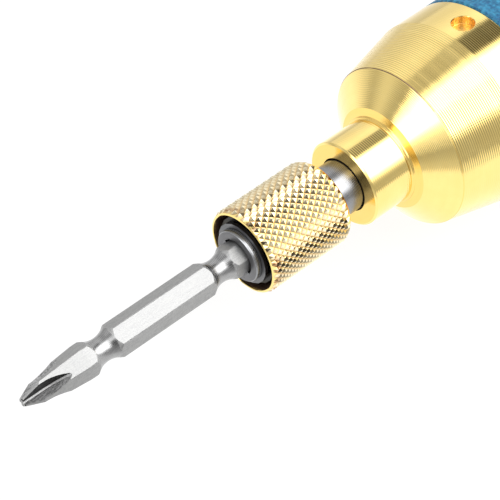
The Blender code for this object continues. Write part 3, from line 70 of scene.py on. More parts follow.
# Bit
BIT_LENGTH = 0.065
BIT_FLATS = 0.00635
BIT_CORNER = 0.003596
BIT_EDGE = 0.00006
BIT_END_RADIUS = 0.0008
BIT_END_ROUND = 0.00015
BIT_CONE_LENGTH = 0.0060
HEX_TAPER = [(-0.002, 0.00255), (0.0040, 0.00276), (0.0100, 0.00331), (0.0142, 0.003666)]
BIT_GROOVE = 0.0183
BIT_GROOVE_HALF = 0.0031
BIT_GROOVE_ARC = 0.005
FLUTE_PATH = [(-0.002, 0.00033), (0, 0.00037), (0.0042, 0.0005), (0.0055, 0.00060),
              (0.0065, 0.00080), (0.0075, 0.00110), (0.0085, 0.00148), (0.0095, 0.00195),
              (0.0104, 0.00250), (0.0112, 0.00330)]  # station, and wall's distance off the axis
FLUTE_FLOOR = 0.00025
FLUTE_DRAFT = 0.0002
FLUTE_FACING = 0.8  # a wall's normal has less than this share along the radius
PAINTED_LIT_FACING = 0.3  # and a wall painted lighter, as a painted reflection, has less than this round the axis
BIT_END_FACING = 0.95

# Anvil and chuck
ANVIL_FRONT = 0.0521
ANVIL_RADIUS = 0.0056
ANVIL_RIM = 0.0002
SOCKET_DEPTH = 0.0299
SOCKET_MOUTH = 0.0004
SNAP_GROOVE = (0.05332, 0.0544, 0.0050)  # front, end and floor radius
FLANGE = (0.09935, 0.10185, 0.0088)
ANVIL_CORE = 0.0037
ANVIL_END = 0.12765
BALL_STATION = 0.0645
BALL_HOLE = 0.0018
SLEEVE_FRONT = 0.05345
SLEEVE_REAR = 0.07415
SLEEVE_RADIUS = 0.0092
SLEEVE_BORE = 0.0076
SLEEVE_MOUTH = 0.0082
SLEEVE_LAND = (0.0627, 0.0663, 0.00612)  # front, end and bore
SLEEVE_POCKET = 0.0066
SLEEVE_LIP_BORE = 0.0059
SLEEVE_REAR_EDGE = 0.0008
SLEEVE_MOUTH_TAPER = 0.0045
WORN_REACH = 0.0035  # of the brown wear, from the sleeve's front
KNURL_FRONT = 0.0536
KNURL_END = 0.0738
KNURL_AROUND = 36
KNURL_ROWS = 22
KNURL_DEPTH = 0.00046
KNURL_LEAN = math.radians(1.2)  # the points stand a little off the middle of their diamonds
COIL_STEPS = 24
COIL_SIDES = 12
COIL_WIRE = 0.0008
COIL_CLOSED_RISE = 1.05  # of the wire, in each end turn
CHUCK_SPRING_TURNS = 4
VALVE_SPRING_TURNS = 6
VALVE_SPRING_RADIUS = 0.0033

# Hammer case
NOSE_FRONT = 0.08045
NOSE_LIP = 0.0015
NOSE_MOUTH = 0.0059
NOSE_BORE = 0.0076
NECK_RADIUS = 0.0093
NECK_END = 0.09105
NECK_STEP = 0.0003
NECK_COVE = [(-0.0008, 0), (-0.0006, 0.0003), (-0.0002, 0.0004), (0, 0.0009)]  # off its end
STEP_RADIUS = 0.0113
SHOULDER_END = 0.09605
SHOULDER_RADIUS = 0.0177
TAPER_END = 0.10965
CASE_END = 0.11915
BODY_RADIUS = 0.02073
CAVITY_FRONT = 0.09905
CAVITY_MOUTH = 0.0149
CAVITY_RADIUS = 0.0183
SPIGOT_END = 0.13185
SPIGOT_RADIUS = 0.0194
SCRIBED_LINE = 0.00012
HOLE_LOOPS = 1.2  # of the hole's radius, either side of it
SHADED_LINE_TURNS = (-75, 28)  # degrees round the axis, from straight up towards the camera, where the scribed line is painted with shade
SPANNER_HOLE = 0.0024
SPANNER_HOLE_DEPTH = 0.0019
SPANNER_HOLE_STATION = 0.11435
SPANNER_HOLE_DEGREES = 5.3

# Housing and reversing ring
HOUSING_FRONT = 0.11945
HOUSING_SOCKET = 0.0197
HOUSING_TAPER_FRONT = 0.13595
HOUSING_STEP = 0.13415
GRIP_FRONT = 0.14795
GRIP_END = 0.20515
GRIP_RADIUS = 0.0185
GRIP_WAIST = 0.0006
GRIP_END_EDGE = 0.0005
MOTOR_BORE = 0.0159
RING_FRONT = 0.20575
RING_END = 0.21575
RING_RADIUS = 0.0198
RING_BORE = 0.0159
RING_GRIPS = 12
RING_GRIP_RADIUS = 0.0012
RING_GRIP_DEPTH = 0.0006
RING_GRIP_ROUND = 0.0006

# Head, lever, inlet and bail
SHELL_FRONT = 0.19125
SHELL_BORE = 0.01123
VALVE_SHELF = 0.21435  # the bottom of the reversing valve's bore
HEAD_FRONT = 0.21635
HEAD_CONE = (0.23635, 0.24085)
HEAD_END = 0.24585
HEAD_END_RADIUS = 0.0165
HEAD_CHAMFER = 0.0008
MOTOR_RADIUS = 0.0156
MUFFLER_SPACE = (0.0095, 0.0130)
MUFFLER_DEPTH = 0.0060
THREAD_RADIUS = 0.0076
THREAD_LENGTH = 0.0122
PIVOT = 0.23835
PIVOT_HEIGHT = 0.0234
PIVOT_PIN = 0.0016
PIVOT_PIN_ROUND = 0.0003
PIN_END_FACING = 0.99
EARS_HALF = 0.0094
EAR_RADIUS = 0.0042
EAR_FOOT = 0.0134
EAR_ROUND = 0.0006
LEVER_SLOT_HALF = 0.0068
LEVER_SLOT_DEPTH = 0.0019
THROTTLE = 0.22635
THROTTLE_PIN = 0.0014
VALVE_BORE = 0.0060
VALVE_PORT = 0.0027
VALVE_SEAT_TOP = 0.00788
VALVE_CHAMBER_TOP = 0.01168
AIR_PASSAGE = (0.0013, 0.00993)  # radius, and height over the axis
INLET_PASSAGE = 0.0040
REVERSE_SLOT = (0.21075, 0.0016, 0.00694)  # station and half sizes
DETENT_HOLE = (0.0015, 0.01785, 0.22335)  # radius, offset and end
BAIL_STATION = 0.24335
BAIL_HOLE_DEPTH = 0.0027
BAIL_RADIUS = 0.0180
BAIL_WIRE = 0.0012
BAIL_CORNER = 0.0015
DEFLECTOR = (0.24615, 0.24815)
DEFLECTOR_RADII = (0.010415, 0.0159)
DEFLECTOR_EDGE = 0.0003
DEFLECTOR_SLOTS = 10
DEFLECTOR_SLOT = (0.0016, 0.0030)
SLOT_ROUND = 0.49  # of a slot's width, which makes its ends round
INLET_HEX = (0.24615, 0.25165)
INLET_HEX_CORNER = 0.009815
INLET_COLLAR = 0.0082
INLET_EDGE = 0.0005
INLET_CHAMFER = 0.0008
INLET_BORE = 0.0056
INLET_BORE_DEPTH = 0.0160
INLET_THREADS = 7
INLET_THREAD_PITCH = 0.00134
INLET_THREAD_HEIGHT = 0.0005
TOOL_END = 0.25615
LEVER_LENGTH = 0.0760
LEVER_WIDTH = 0.0130
LEVER_SKIN = 0.0020
LEVER_TOP = 0.0015
LEVER_SKIRT = 0.0025
LEVER_EYE = 0.0034
EYE_STEPS = 24
LEVER_LIP = (0.0060, 0.0022)
LEVER_BEND = 0.0012
LEVER_ROUND = 0.0005
LEVER_DEGREES = 7.5

# Camera, as the photograph was taken
CAMERA_AZIMUTH = -42.65
CAMERA_ELEVATION = 47.62
CAMERA_DISTANCE = 0.4008
CAMERA_AIM = 0.05526  # the station it looks at
CAMERA_AIM_RISE = 0.00029
CAMERA_LENS = 150.98


def on_tool(station, across=0.0, up=0.0):
    """A point at a station, with its offsets from the tool's axis."""
    return Vector((TIP + station, across, AXIS_HEIGHT + up))


def radius_of(point):
    return math.hypot(point.y, point.z - AXIS_HEIGHT)


def turn_of(point):
    """Degrees round the tool's axis, from straight up towards the camera."""
    return math.degrees(math.atan2(-point.y, point.z - AXIS_HEIGHT))


# Tools for modelling

def clear_selection():
    if bpy.context.mode != "OBJECT":
        bpy.ops.object.mode_set(mode="OBJECT")
    bpy.ops.object.select_all(action="DESELECT")


def work_on(piece):
    clear_selection()
    piece.select_set(True)
    bpy.context.view_layer.objects.active = piece


def name_new_piece(name):
    piece = bpy.context.object
    piece.name = piece.data.name = name
    return piece


def pick(kind, wanted):
    """In edit mode, selects the vertices, edges or faces that are wanted."""
    bpy.ops.mesh.select_mode(type=kind)
    bpy.ops.mesh.select_all(action="DESELECT")
    data = bpy.context.object.data
    mesh = bmesh.from_edit_mesh(data)
    for item in {"VERT": mesh.verts, "EDGE": mesh.edges, "FACE": mesh.faces}[kind]:
        item.select_set(wanted(item))
    bmesh.update_edit_mesh(data)


def pull_out(by):
    """In edit mode, extrudes the selected faces."""
    bpy.ops.mesh.extrude_region_move(TRANSFORM_OT_translate={"value": by})


def merge_doubles():
    bpy.ops.mesh.select_all(action="SELECT")
    bpy.ops.mesh.remove_doubles(threshold=MERGE)


def end_mesh():
    """Turns every face outward and leaves edit mode."""
    bpy.ops.mesh.select_all(action="SELECT")
    bpy.ops.mesh.normals_make_consistent(inside=False)
    bpy.ops.object.mode_set(mode="OBJECT")


def draw_outline(name, outline, across=0.0):
    """Draws (station, up) points from one vertex, and stays in edit mode."""
    clear_selection()
    station, up = outline[0]
    bpy.ops.mesh.primitive_plane_add(size=OVERRUN, location=on_tool(station, across, up))
    piece = name_new_piece(name)
    bpy.ops.object.mode_set(mode="EDIT")
    bpy.ops.mesh.select_mode(type="VERT")
    bpy.ops.mesh.select_all(action="SELECT")
    bpy.ops.mesh.merge(type="CENTER")
    for (s0, u0), (s1, u1) in zip(outline, outline[1:]):
        bpy.ops.mesh.extrude_vertices_move(
            TRANSFORM_OT_translate={"value": (s1 - s0, 0, u1 - u0)})
    bpy.ops.mesh.select_all(action="SELECT")
    return piece


def lathe(name, outline, sides=FINE_SIDES):
    """Spins an outline of (station, radius) points round the tool's axis."""
    piece = draw_outline(name, outline)
    bpy.ops.mesh.spin(steps=sides, angle=2 * math.pi, center=on_tool(0), axis=(1, 0, 0))
    merge_doubles()
    end_mesh()
    return piece


def sheet(name, outline, width):
    """Fills a closed (station, up) outline and pulls it out to its width."""
    piece = draw_outline(name, outline, -width / 2)
    bpy.ops.mesh.edge_face_add()
    pull_out((0, width, 0))
    end_mesh()
    return piece


def bar(name, start, end, radius, sides=SMALL_SIDES, turn=0.0):
    """A straight bar between two points, round or with a few flats."""
    clear_selection()
    along = end - start
    facing = along.to_track_quat("Z", "Y") @ Matrix.Rotation(turn, 3, "Z").to_quaternion()
    bpy.ops.mesh.primitive_cylinder_add(
        vertices=sides, radius=radius, depth=along.length, location=(start + end) / 2,
        rotation=facing.to_euler())
    return name_new_piece(name)


def block(name, low, high, round_off=0.0):
    """A block between two corners, with the edges that run along the tool rounded."""
    clear_selection()
    middle = [(a + b) / 2 for a, b in zip(low, high)]
    size = [b - a for a, b in zip(low, high)]
    bpy.ops.mesh.primitive_cube_add(size=1, location=on_tool(*middle), scale=size)
    piece = name_new_piece(name)
    if round_off:
        bpy.ops.object.transform_apply(location=True, rotation=True, scale=True)
        bpy.ops.object.mode_set(mode="EDIT")
        pick("EDGE", lambda edge: abs(edge.verts[0].co.x - edge.verts[1].co.x) > MERGE)
        bpy.ops.mesh.bevel(offset=round_off, segments=6)
        bpy.ops.object.mode_set(mode="OBJECT")
    return piece


def turn_round(piece, degrees):
    """Turns a piece round the tool's axis."""
    axis = Matrix.Translation(on_tool(0))
    turn = Matrix.Rotation(math.radians(degrees), 4, "X")
    piece.matrix_world = axis @ turn @ axis.inverted() @ piece.matrix_world
    return piece


def arc(centre, radius, start, end, steps):
    """Points on an arc, in degrees, as (station, up)."""
    angles = [math.radians(start + (end - start) * i / steps) for i in range(steps + 1)]
    return [(centre[0] + radius * math.cos(a), centre[1] + radius * math.sin(a))
            for a in angles]


def apply_modifier(piece, modifier):
    work_on(piece)
    bpy.ops.object.modifier_apply(modifier=modifier.name)


def break_edges(piece, width, segments, degrees):
    """Small rounds on every edge that is sharper than the angle."""
    bevel = piece.modifiers.new("broken edges", "BEVEL")
    bevel.limit_method = "ANGLE"
    bevel.angle_limit = math.radians(degrees)
    bevel.width = width
    bevel.segments = segments
    apply_modifier(piece, bevel)


def cut(piece, cutter, operation="DIFFERENCE"):
    """Cuts one piece with another, or joins it on, and takes the cutter away."""
    modifier = piece.modifiers.new("cut", "BOOLEAN")
    modifier.object = cutter
    modifier.operation = operation
    modifier.solver = "EXACT"
    apply_modifier(piece, modifier)
    bpy.data.objects.remove(cutter, do_unlink=True)


def finish_piece(piece, body, finishes, nodes, degrees=30):
    """Places the piece in its mesh, shades it, and puts it where its CAD node was."""
    work_on(piece)
    bpy.ops.object.transform_apply(location=True, rotation=True, scale=True)
    bpy.ops.object.shade_smooth_by_angle(angle=math.radians(degrees))
    piece.data.materials.clear()
    for finish in finishes:
        piece.data.materials.append(finish)
    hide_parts(*nodes)
    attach(piece, body)


def paint_faces(piece, slot_number, wanted):
    """Gives the wanted faces another of the piece's finishes."""
    for face in piece.data.polygons:
        if wanted(face):
            face.material_index = slot_number


# Tools for finishes

def add_node(tree, kind, inputs=None, **settings):
    """Adds a node. Each input is a value, or the output of another node."""
    node = tree.nodes.new("ShaderNode" + kind)
    for name, value in settings.items():
        setattr(node, name, value)
    for name, value in (inputs or {}).items():
        if isinstance(value, bpy.types.NodeSocket):
            tree.links.new(value, node.inputs[name])
        else:
            node.inputs[name].default_value = value
    return node


def maths(tree, operation, first, second=0.0, third=0.0):
    inputs = {0: first, 1: second, 2: third}
    return add_node(tree, "Math", inputs, operation=operation).outputs[0]


def distance_off_axis(tree, across, up):
    return maths(tree, "SQRT", maths(tree, "ADD", maths(tree, "MULTIPLY", across, across),
                                     maths(tree, "MULTIPLY", up, up)))


def noise(tree, vector, scale, detail=2.0, roughness=0.5):
    return add_node(tree, "TexNoise", {"Vector": vector, "Scale": scale, "Detail": detail,
                                       "Roughness": roughness}).outputs["Fac"]


def ramp(tree, value, low, high):
    """0 below low and 1 above high."""
    return add_node(tree, "MapRange", {"Value": value, "From Min": low, "From Max": high},
                    interpolation_type="SMOOTHSTEP").outputs["Result"]


def colour_between(tree, share, first, second):
    mix = add_node(tree, "Mix", {0: share}, data_type="RGBA")
    for socket, value in ((mix.inputs[6], first), (mix.inputs[7], second)):
        if isinstance(value, bpy.types.NodeSocket):
            tree.links.new(value, socket)
        else:
            socket.default_value = (*value, 1)
    return mix.outputs[2]


def new_group(name, inputs, outputs):
    """A shader node group. Inputs are name: value, and outputs are names."""
    group = bpy.data.node_groups.new(name, "ShaderNodeTree")
    group.interface.new_socket("Position", in_out="INPUT", socket_type="NodeSocketVector")
    for key, value in inputs.items():
        socket = group.interface.new_socket(key, in_out="INPUT", socket_type="NodeSocketFloat")
        socket.default_value = value
    for key in outputs:
        group.interface.new_socket(key, in_out="OUTPUT", socket_type="NodeSocketFloat")
    return group, group.nodes.new("NodeGroupInput"), group.nodes.new("NodeGroupOutput")


def make_turning_group():
    """The tool marks of a lathe round the tool's axis, on cylinders, cones and faces."""
    group, given, result = new_group("turning marks", {"Spacing": 0.0002},
                                     ("Height", "Fine", "Patches"))
    split = add_node(group, "SeparateXYZ", {0: given.outputs["Position"]})
    x, y, z = (split.outputs[i] for i in range(3))
    along = maths(group, "ADD", x, distance_off_axis(group, y, z))
    turns = maths(group, "DIVIDE", along, given.outputs["Spacing"])
    wave = maths(group, "SINE", maths(group, "MULTIPLY", turns, 2 * math.pi))
    depth = add_node(group, "TexNoise", {"W": turns, "Scale": 0.23, "Detail": 2.0},
                     noise_dimensions="1D")
    lines = maths(group, "MULTIPLY", wave,
                  maths(group, "MULTIPLY_ADD", depth.outputs["Fac"], 0.6, 0.2))
    fine = add_node(group, "TexNoise", {"W": turns, "Scale": 2.7, "Detail": 3.0,
                                        "Roughness": 0.6}, noise_dimensions="1D")
    angle = maths(group, "ARCTAN2", y, z)
    marks = add_node(group, "CombineXYZ", {0: maths(group, "MULTIPLY", turns, 0.3),
                                           1: maths(group, "MULTIPLY", angle, 1.5)})
    patches = noise(group, marks.outputs[0], 1.0, 2.0)
    group.links.new(lines, result.inputs["Height"])
    group.links.new(fine.outputs["Fac"], result.inputs["Fine"])
    group.links.new(patches, result.inputs["Patches"])
    return group


def make_grain_group():
    """Grinding marks along the tool's axis, crossed by fainter ones."""
    group, given, result = new_group("lengthwise grain", {"Fineness": 5000.0},
                                     ("Height", "Shade"))
    layers = []
    for stretch, turn in (((0.1, 1.0, 1.0), 0.0), ((0.4, 1.0, 1.0), 0.9)):
        turned = add_node(group, "Mapping", {"Vector": given.outputs["Position"],
                                             "Rotation": (turn, turn, turn)})
        drawn = add_node(group, "VectorMath", {0: turned.outputs[0], 1: stretch},
                         operation="MULTIPLY")
        scaled = add_node(group, "VectorMath", {0: drawn.outputs[0]}, operation="SCALE")
        group.links.new(given.outputs["Fineness"], scaled.inputs["Scale"])
        layers.append(noise(group, scaled.outputs[0], 1.0, 3.0, 0.65))
    both = maths(group, "MULTIPLY_ADD", layers[1], 0.5, maths(group, "MULTIPLY", layers[0], 0.5))
    group.links.new(layers[0], result.inputs["Height"])
    group.links.new(ramp(group, both, 0.42, 0.58), result.inputs["Shade"])
    return group


def make_handling_group():
    """Soft patches that handling leaves, as a mask."""
    group, given, result = new_group("handling", {"Size": 0.006}, ("Mask",))
    scale = maths(group, "DIVIDE", 1.0, given.outputs["Size"])
    patches = noise(group, given.outputs["Position"], scale, 3.0, 0.6)
    group.links.new(ramp(group, patches, 0.38, 0.66), result.inputs["Mask"])
    return group


def make_edge_group():
    """Worn and bright edges, as a mask."""
    group, given, result = new_group("worn edges", {"Reach": 0.06}, ("Mask",))
    shape = add_node(group, "NewGeometry")
    high = maths(group, "ADD", 0.5, given.outputs["Reach"])
    sharp = add_node(group, "MapRange", {"Value": shape.outputs["Pointiness"],
                                         "From Min": 0.5})
    group.links.new(high, sharp.inputs["From Max"])
    broken = ramp(group, noise(group, given.outputs["Position"], 900.0, 3.0), 0.3, 0.6)
    group.links.new(maths(group, "MULTIPLY", sharp.outputs[0], broken), result.inputs["Mask"])
    return group


turning_marks = make_turning_group()
lengthwise_grain = make_grain_group()
handling = make_handling_group()
worn_edges = make_edge_group()


class Finish:
    """A material with a Principled shader, a position on the tool and its node tree."""

    def __init__(self, name, metallic, roughness, colour):
        self.material = bpy.data.materials.new(name)
        self.material.use_nodes = True
        self.tree = self.material.node_tree
        self.shader = self.tree.nodes["Principled BSDF"]
        self.shader.inputs["Metallic"].default_value = metallic
        self.shader.inputs["Roughness"].default_value = roughness
        self.shader.inputs["Base Color"].default_value = (*colour, 1)
        place = add_node(self.tree, "TexCoord")
        centred = add_node(self.tree, "Mapping", {"Vector": place.outputs["Object"],
                                                  "Location": (0, 0, -AXIS_HEIGHT)})
        self.position = centred.outputs[0]
        self.heights = []

    def group(self, group, **inputs):
        node = add_node(self.tree, "Group", node_tree=group)
        self.tree.links.new(self.position, node.inputs["Position"])
        for key, value in inputs.items():
            node.inputs[key].default_value = value
        return node

    def between(self, share, low, high):
        spread = add_node(self.tree, "MapRange", {"Value": share, "To Min": low, "To Max": high})
        return spread.outputs[0]

    def colour(self, share, first, second):
        """Mixes two colours. One of them can be what an earlier call gave back."""
        made = colour_between(self.tree, share, first, second)
        self.tree.links.new(made, self.shader.inputs["Base Color"])
        return made

    def roughness(self, share, low, high):
        self.tree.links.new(self.between(share, low, high), self.shader.inputs["Roughness"])

    def bump(self, height, depth):
        """Each further bump is laid over the one before."""
        node = add_node(self.tree, "Bump", {"Height": height, "Distance": depth,
                                            "Strength": 1.0})
        if self.heights:
            self.tree.links.new(self.heights[-1], node.inputs["Normal"])
        self.heights.append(node.outputs[0])
        self.tree.links.new(node.outputs[0], self.shader.inputs["Normal"])

    def grain(self, scale, detail=2.0, roughness=0.5):
        return noise(self.tree, self.position, scale, detail, roughness)


# Finishes

def turned_gold(name, spacing, depth, fine_depth, colour=(0.96, 0.75, 0.29),
                other=(0.94, 0.71, 0.25)):
    finish = Finish(name, 1, 0.2, colour)
    marks = finish.group(turning_marks, Spacing=spacing)
    touched = finish.group(handling, Size=0.008)
    clean = finish.colour(marks.outputs["Patches"], colour, other)
    finish.colour(finish.between(touched.outputs["Mask"], 0.0, 0.3), clean, (0.90, 0.65, 0.21))
    finish.roughness(marks.outputs["Patches"], 0.07, 0.13)
    finish.bump(marks.outputs["Height"], depth)
    finish.bump(marks.outputs["Fine"], fine_depth)
    return finish.material


def knurled_gold():
    """A painted highlight makes the points of the knurl pale, and painted shade makes it browner
    down in its grooves.
    """
    finish = Finish("knurled gold", 1, 0.2, (0.95, 0.80, 0.42))
    tree = finish.tree
    split = add_node(tree, "SeparateXYZ", {0: finish.position})
    height = distance_off_axis(tree, split.outputs[1], split.outputs[2])
    # painted highlight on the points and painted shade in the grooves, by distance off the axis
    lit_points = ramp(tree, height, SLEEVE_RADIUS - KNURL_DEPTH, SLEEVE_RADIUS - KNURL_DEPTH / 3)
    knurl_light_and_shade = finish.colour(lit_points, (0.76, 0.57, 0.30), (0.95, 0.84, 0.58))
    near_front = ramp(tree, split.outputs[0], TIP + SLEEVE_FRONT + WORN_REACH,
                      TIP + SLEEVE_FRONT)
    worn = maths(tree, "MULTIPLY", near_front, ramp(tree, finish.grain(500.0, 3.0), 0.48, 0.62))
    finish.colour(worn, knurl_light_and_shade, (0.40, 0.20, 0.08))
    finish.roughness(finish.grain(3000.0, 3.0), 0.08, 0.22)
    finish.bump(finish.grain(9000.0), 0.000004)
    return finish.material


def brushed_steel(name, colour, darker, low=0.2, high=0.42):
    finish = Finish(name, 1, 0.3, colour)
    marks = finish.group(turning_marks, Spacing=0.0003)
    finish.colour(marks.outputs["Patches"], colour, darker)
    finish.roughness(marks.outputs["Height"], low, high)
    finish.bump(marks.outputs["Height"], 0.000003)
    return finish.material


def ground_steel(name, darker, lighter, low, high):
    """Steel with grinding marks along the axis."""
    finish = Finish(name, 1, low, darker)
    marks = finish.group(lengthwise_grain, Fineness=4500.0)
    finish.colour(marks.outputs["Shade"], darker, lighter)
    finish.roughness(marks.outputs["Shade"], low, high)
    finish.bump(marks.outputs["Height"], 0.00003)
    return finish.material


def wrinkle_coat():
    finish = Finish("blue wrinkle coat", 0, 0.5, (0.06, 0.25, 0.48))
    tree = finish.tree
    warp = add_node(tree, "TexNoise", {"Vector": finish.position, "Scale": 1400.0,
                                       "Detail": 2.0})
    bent = add_node(tree, "VectorMath", {0: warp.outputs["Color"], "Scale": 0.0006},
                    operation="SCALE")
    moved = add_node(tree, "VectorMath", {0: finish.position, 1: bent.outputs[0]},
                     operation="ADD")
    cells = add_node(tree, "TexVoronoi", {"Vector": moved.outputs[0], "Scale": 1500.0},
                     feature="SMOOTH_F1")
    folds = ramp(tree, cells.outputs["Distance"], 0.1, 0.75)
    patches = finish.grain(700.0, 3.0, 0.6)
    blue = colour_between(tree, ramp(tree, patches, 0.36, 0.64), (0.009, 0.125, 0.27),
                          (0.045, 0.30, 0.50))
    # the creases, where the bump sinks, are painted darker: painted shade
    finish.colour(maths(tree, "MULTIPLY", folds, 0.6), blue, (0.004, 0.06, 0.14))
    finish.roughness(patches, 0.42, 0.62)
    finish.bump(maths(tree, "SUBTRACT", 1.0, folds), 0.00009)
    return finish.material


def moulded_black(name, colour=(0.018, 0.018, 0.019), scale=4500.0, depth=0.00002):
    finish = Finish(name, 0, 0.5, colour)
    edges = finish.group(worn_edges, Reach=0.08)
    touched = finish.group(handling, Size=0.01)
    finish.colour(finish.between(edges.outputs["Mask"], 0.0, 0.5), colour, (0.10, 0.10, 0.10))
    finish.roughness(touched.outputs["Mask"], 0.42, 0.62)
    finish.bump(finish.grain(scale, 2.0), depth)
    return finish.material


def satin_aluminium(name):
    finish = Finish(name, 1, 0.35, (0.62, 0.63, 0.65))
    marks = finish.group(turning_marks, Spacing=0.0004)
    touched = finish.group(handling, Size=0.009)
    finish.colour(touched.outputs["Mask"], (0.64, 0.65, 0.67), (0.52, 0.53, 0.55))
    finish.roughness(marks.outputs["Height"], 0.28, 0.46)
    finish.bump(finish.grain(7000.0), 0.000008)
    finish.bump(marks.outputs["Height"], 0.000003)
    return finish.material


def speckled(name, metallic, first, second, scale, low, high, depth):
    """Sintered, honed, felted or rubbed surfaces, by their speckle."""
    finish = Finish(name, metallic, low, first)
    specks = finish.grain(scale, 4.0, 0.65)
    finish.colour(ramp(finish.tree, specks, 0.35, 0.65), first, second)
    finish.roughness(specks, low, high)
    finish.bump(specks, depth)
    return finish.material


gold = turned_gold("turned gold anodising", 0.00056, 0.000032, 0.000003)
fine_gold = turned_gold("finely turned gold anodising", 0.0005, 0.000006, 0.000002)
# painted reflection and shade: the deeper amber painted on the steps and in the scribed line
painted_amber_gold = turned_gold("amber gold of the steps", 0.0003, 0.000004, 0.000003,
                         (0.95, 0.67, 0.21), (0.92, 0.62, 0.17))
knurl_gold = knurled_gold()
shaft_steel = brushed_steel("blue-grey shaft steel", (0.31, 0.315, 0.325), (0.24, 0.245, 0.255),
                            low=0.26, high=0.42)
plated_steel = brushed_steel("plated inlet steel", (0.50, 0.50, 0.505), (0.42, 0.42, 0.43))
bright_steel = brushed_steel("bright turned steel", (0.62, 0.62, 0.62), (0.52, 0.52, 0.53))
dark_steel = brushed_steel("oiled black steel", (0.05, 0.048, 0.045), (0.03, 0.03, 0.03),
                           low=0.35, high=0.55)
bit_steel = ground_steel("ground bit steel", (0.31, 0.31, 0.31), (0.40, 0.40, 0.395), 0.5, 0.58)
flute_steel = ground_steel("black of the flutes", (0.012, 0.012, 0.012), (0.06, 0.06, 0.06), 0.4,
                           0.5)
# painted reflection: the lighter grey of the flutes' floors and the walls that face the light
lit_wall_steel = ground_steel("grey of the flutes", (0.20, 0.20, 0.20), (0.42, 0.42, 0.42), 0.4,
                          0.55)
groove_steel = brushed_steel("turned bit steel", (0.38, 0.38, 0.38), (0.28, 0.28, 0.28),
                             low=0.26, high=0.42)
# a darker steel for the anvil's front face and the snap ring
dark_face_steel = brushed_steel("darker anvil face", (0.19, 0.19, 0.195), (0.10, 0.10, 0.105),
                          low=0.3, high=0.5)
# painted shade: the dark brown put in the bores and in one stretch of the scribed line
painted_shade_brown = brushed_steel("brown painted shade of the bores", (0.27, 0.17, 0.12), (0.12, 0.07, 0.05),
                           low=0.4, high=0.6)
# painted shade for the socket's walls inside the anvil
socket_shade_black = brushed_steel("black painted shade of the socket", (0.05, 0.05, 0.05), (0.03, 0.03, 0.03),
                             low=0.4, high=0.6)
blue_coat = wrinkle_coat()
ring_black = moulded_black("moulded black plastic")
lever_black = moulded_black("black powder coat", (0.022, 0.022, 0.023), 2500.0, 0.00004)
aluminium = satin_aluminium("satin aluminium")
bronze = speckled("sintered bronze", 1, (0.50, 0.32, 0.14), (0.38, 0.22, 0.09), 6000.0, 0.35,
                  0.55, 0.000008)
cylinder_iron = speckled("honed iron", 1, (0.30, 0.30, 0.31), (0.22, 0.22, 0.23), 5000.0, 0.3,
                         0.5, 0.000006)
rubber = speckled("seal rubber", 0, (0.018, 0.018, 0.018), (0.03, 0.03, 0.03), 3000.0, 0.55,
                  0.75, 0.00001)
composite = speckled("vane fibre", 0, (0.10, 0.05, 0.02), (0.19, 0.10, 0.05), 2500.0, 0.45,
                     0.65, 0.00002)
# painted shade and reflection for inside the spanner hole
hole_shade_gold = speckled("gold painted with shade in the hole", 1, (0.93, 0.66, 0.25), (0.72, 0.42, 0.12), 2600.0, 0.3,
                        0.48, 0.000006)
felt = speckled("pressed felt", 0, (0.09, 0.09, 0.085), (0.22, 0.22, 0.21), 3500.0, 0.8, 0.95,
                0.0001)

SLOT_FINISHES = {
    "bit_steel": bit_steel, "shaft_steel": shaft_steel, "bright_steel": bright_steel,
    "dark_steel": dark_steel, "gold_aluminium": gold, "blue_coat": blue_coat,
    "bronze": bronze, "plain_aluminium": aluminium, "cylinder_iron": cylinder_iron,
    "seal_rubber": rubber, "vane_composite": composite, "black_plastic": ring_black,
    "muffler_felt": felt, "lever_coat": lever_black,
}


def dress_cad_nodes():
    """Every CAD node that still shows gets the finish of its slot, and the snap ring that of the
    anvil's darker front face."""
    for part in frame["record"]["subparts"]:
        node = frame["nodes"][part["node"]]
        node.data.materials.clear()
        node.data.materials.append(SLOT_FINISHES[part["material_slot"]])
    ring = frame["nodes"]["chuck_snap_ring"]
    ring.data.materials[0] = dark_face_steel


# Bit and chuck

def groove_outline(middle):
    """The arc of a turned groove, as (station, radius) points."""
    centre = BIT_CORNER + math.sqrt(BIT_GROOVE_ARC**2 - BIT_GROOVE_HALF**2)
    steps = 16
    points = []
    for i in range(steps + 1):
        along = BIT_GROOVE_HALF * (2 * i / steps - 1)
        points.append((middle + along, centre - math.sqrt(BIT_GROOVE_ARC**2 - along**2)))
    return points


def flute_cutter(tip, into, quarter):
    """A square section with one blunt corner, swept along the flute's path."""
    clear_selection()
    (station, wall), *path = FLUTE_PATH
    wide = BIT_FLATS / 2
    bpy.ops.mesh.primitive_plane_add(
        size=wide, location=(station, wall + wide / 2, wall + wide / 2),
        rotation=(0, math.pi / 2, 0))
    cutter = name_new_piece("flute_cutter")
    bpy.ops.object.transform_apply(location=True, rotation=True, scale=True)
    bpy.ops.object.mode_set(mode="EDIT")
    pick("VERT", lambda vertex: vertex.co.y + vertex.co.z < wide)
    bpy.ops.transform.translate(value=(0, -FLUTE_DRAFT, -FLUTE_DRAFT))
    bpy.ops.mesh.bevel(offset=FLUTE_FLOOR, segments=2, profile=0.3, affect="VERTICES")
    bpy.ops.mesh.select_mode(type="FACE")
    bpy.ops.mesh.select_all(action="SELECT")
    for s, w in path:
        pull_out((s - station, w - wall, w - wall))
        station, wall = s, w
    end_mesh()
    cutter.matrix_world = (Matrix.Translation(on_tool(tip))
                           @ Matrix.Diagonal((into, 1, 1, 1))
                           @ Matrix.Rotation(math.pi / 2 * quarter, 4, "X"))
    work_on(cutter)
    bpy.ops.object.transform_apply(location=True, rotation=True, scale=True)
    bpy.ops.object.mode_set(mode="EDIT")
    merge_doubles()
    end_mesh()
    return cutter


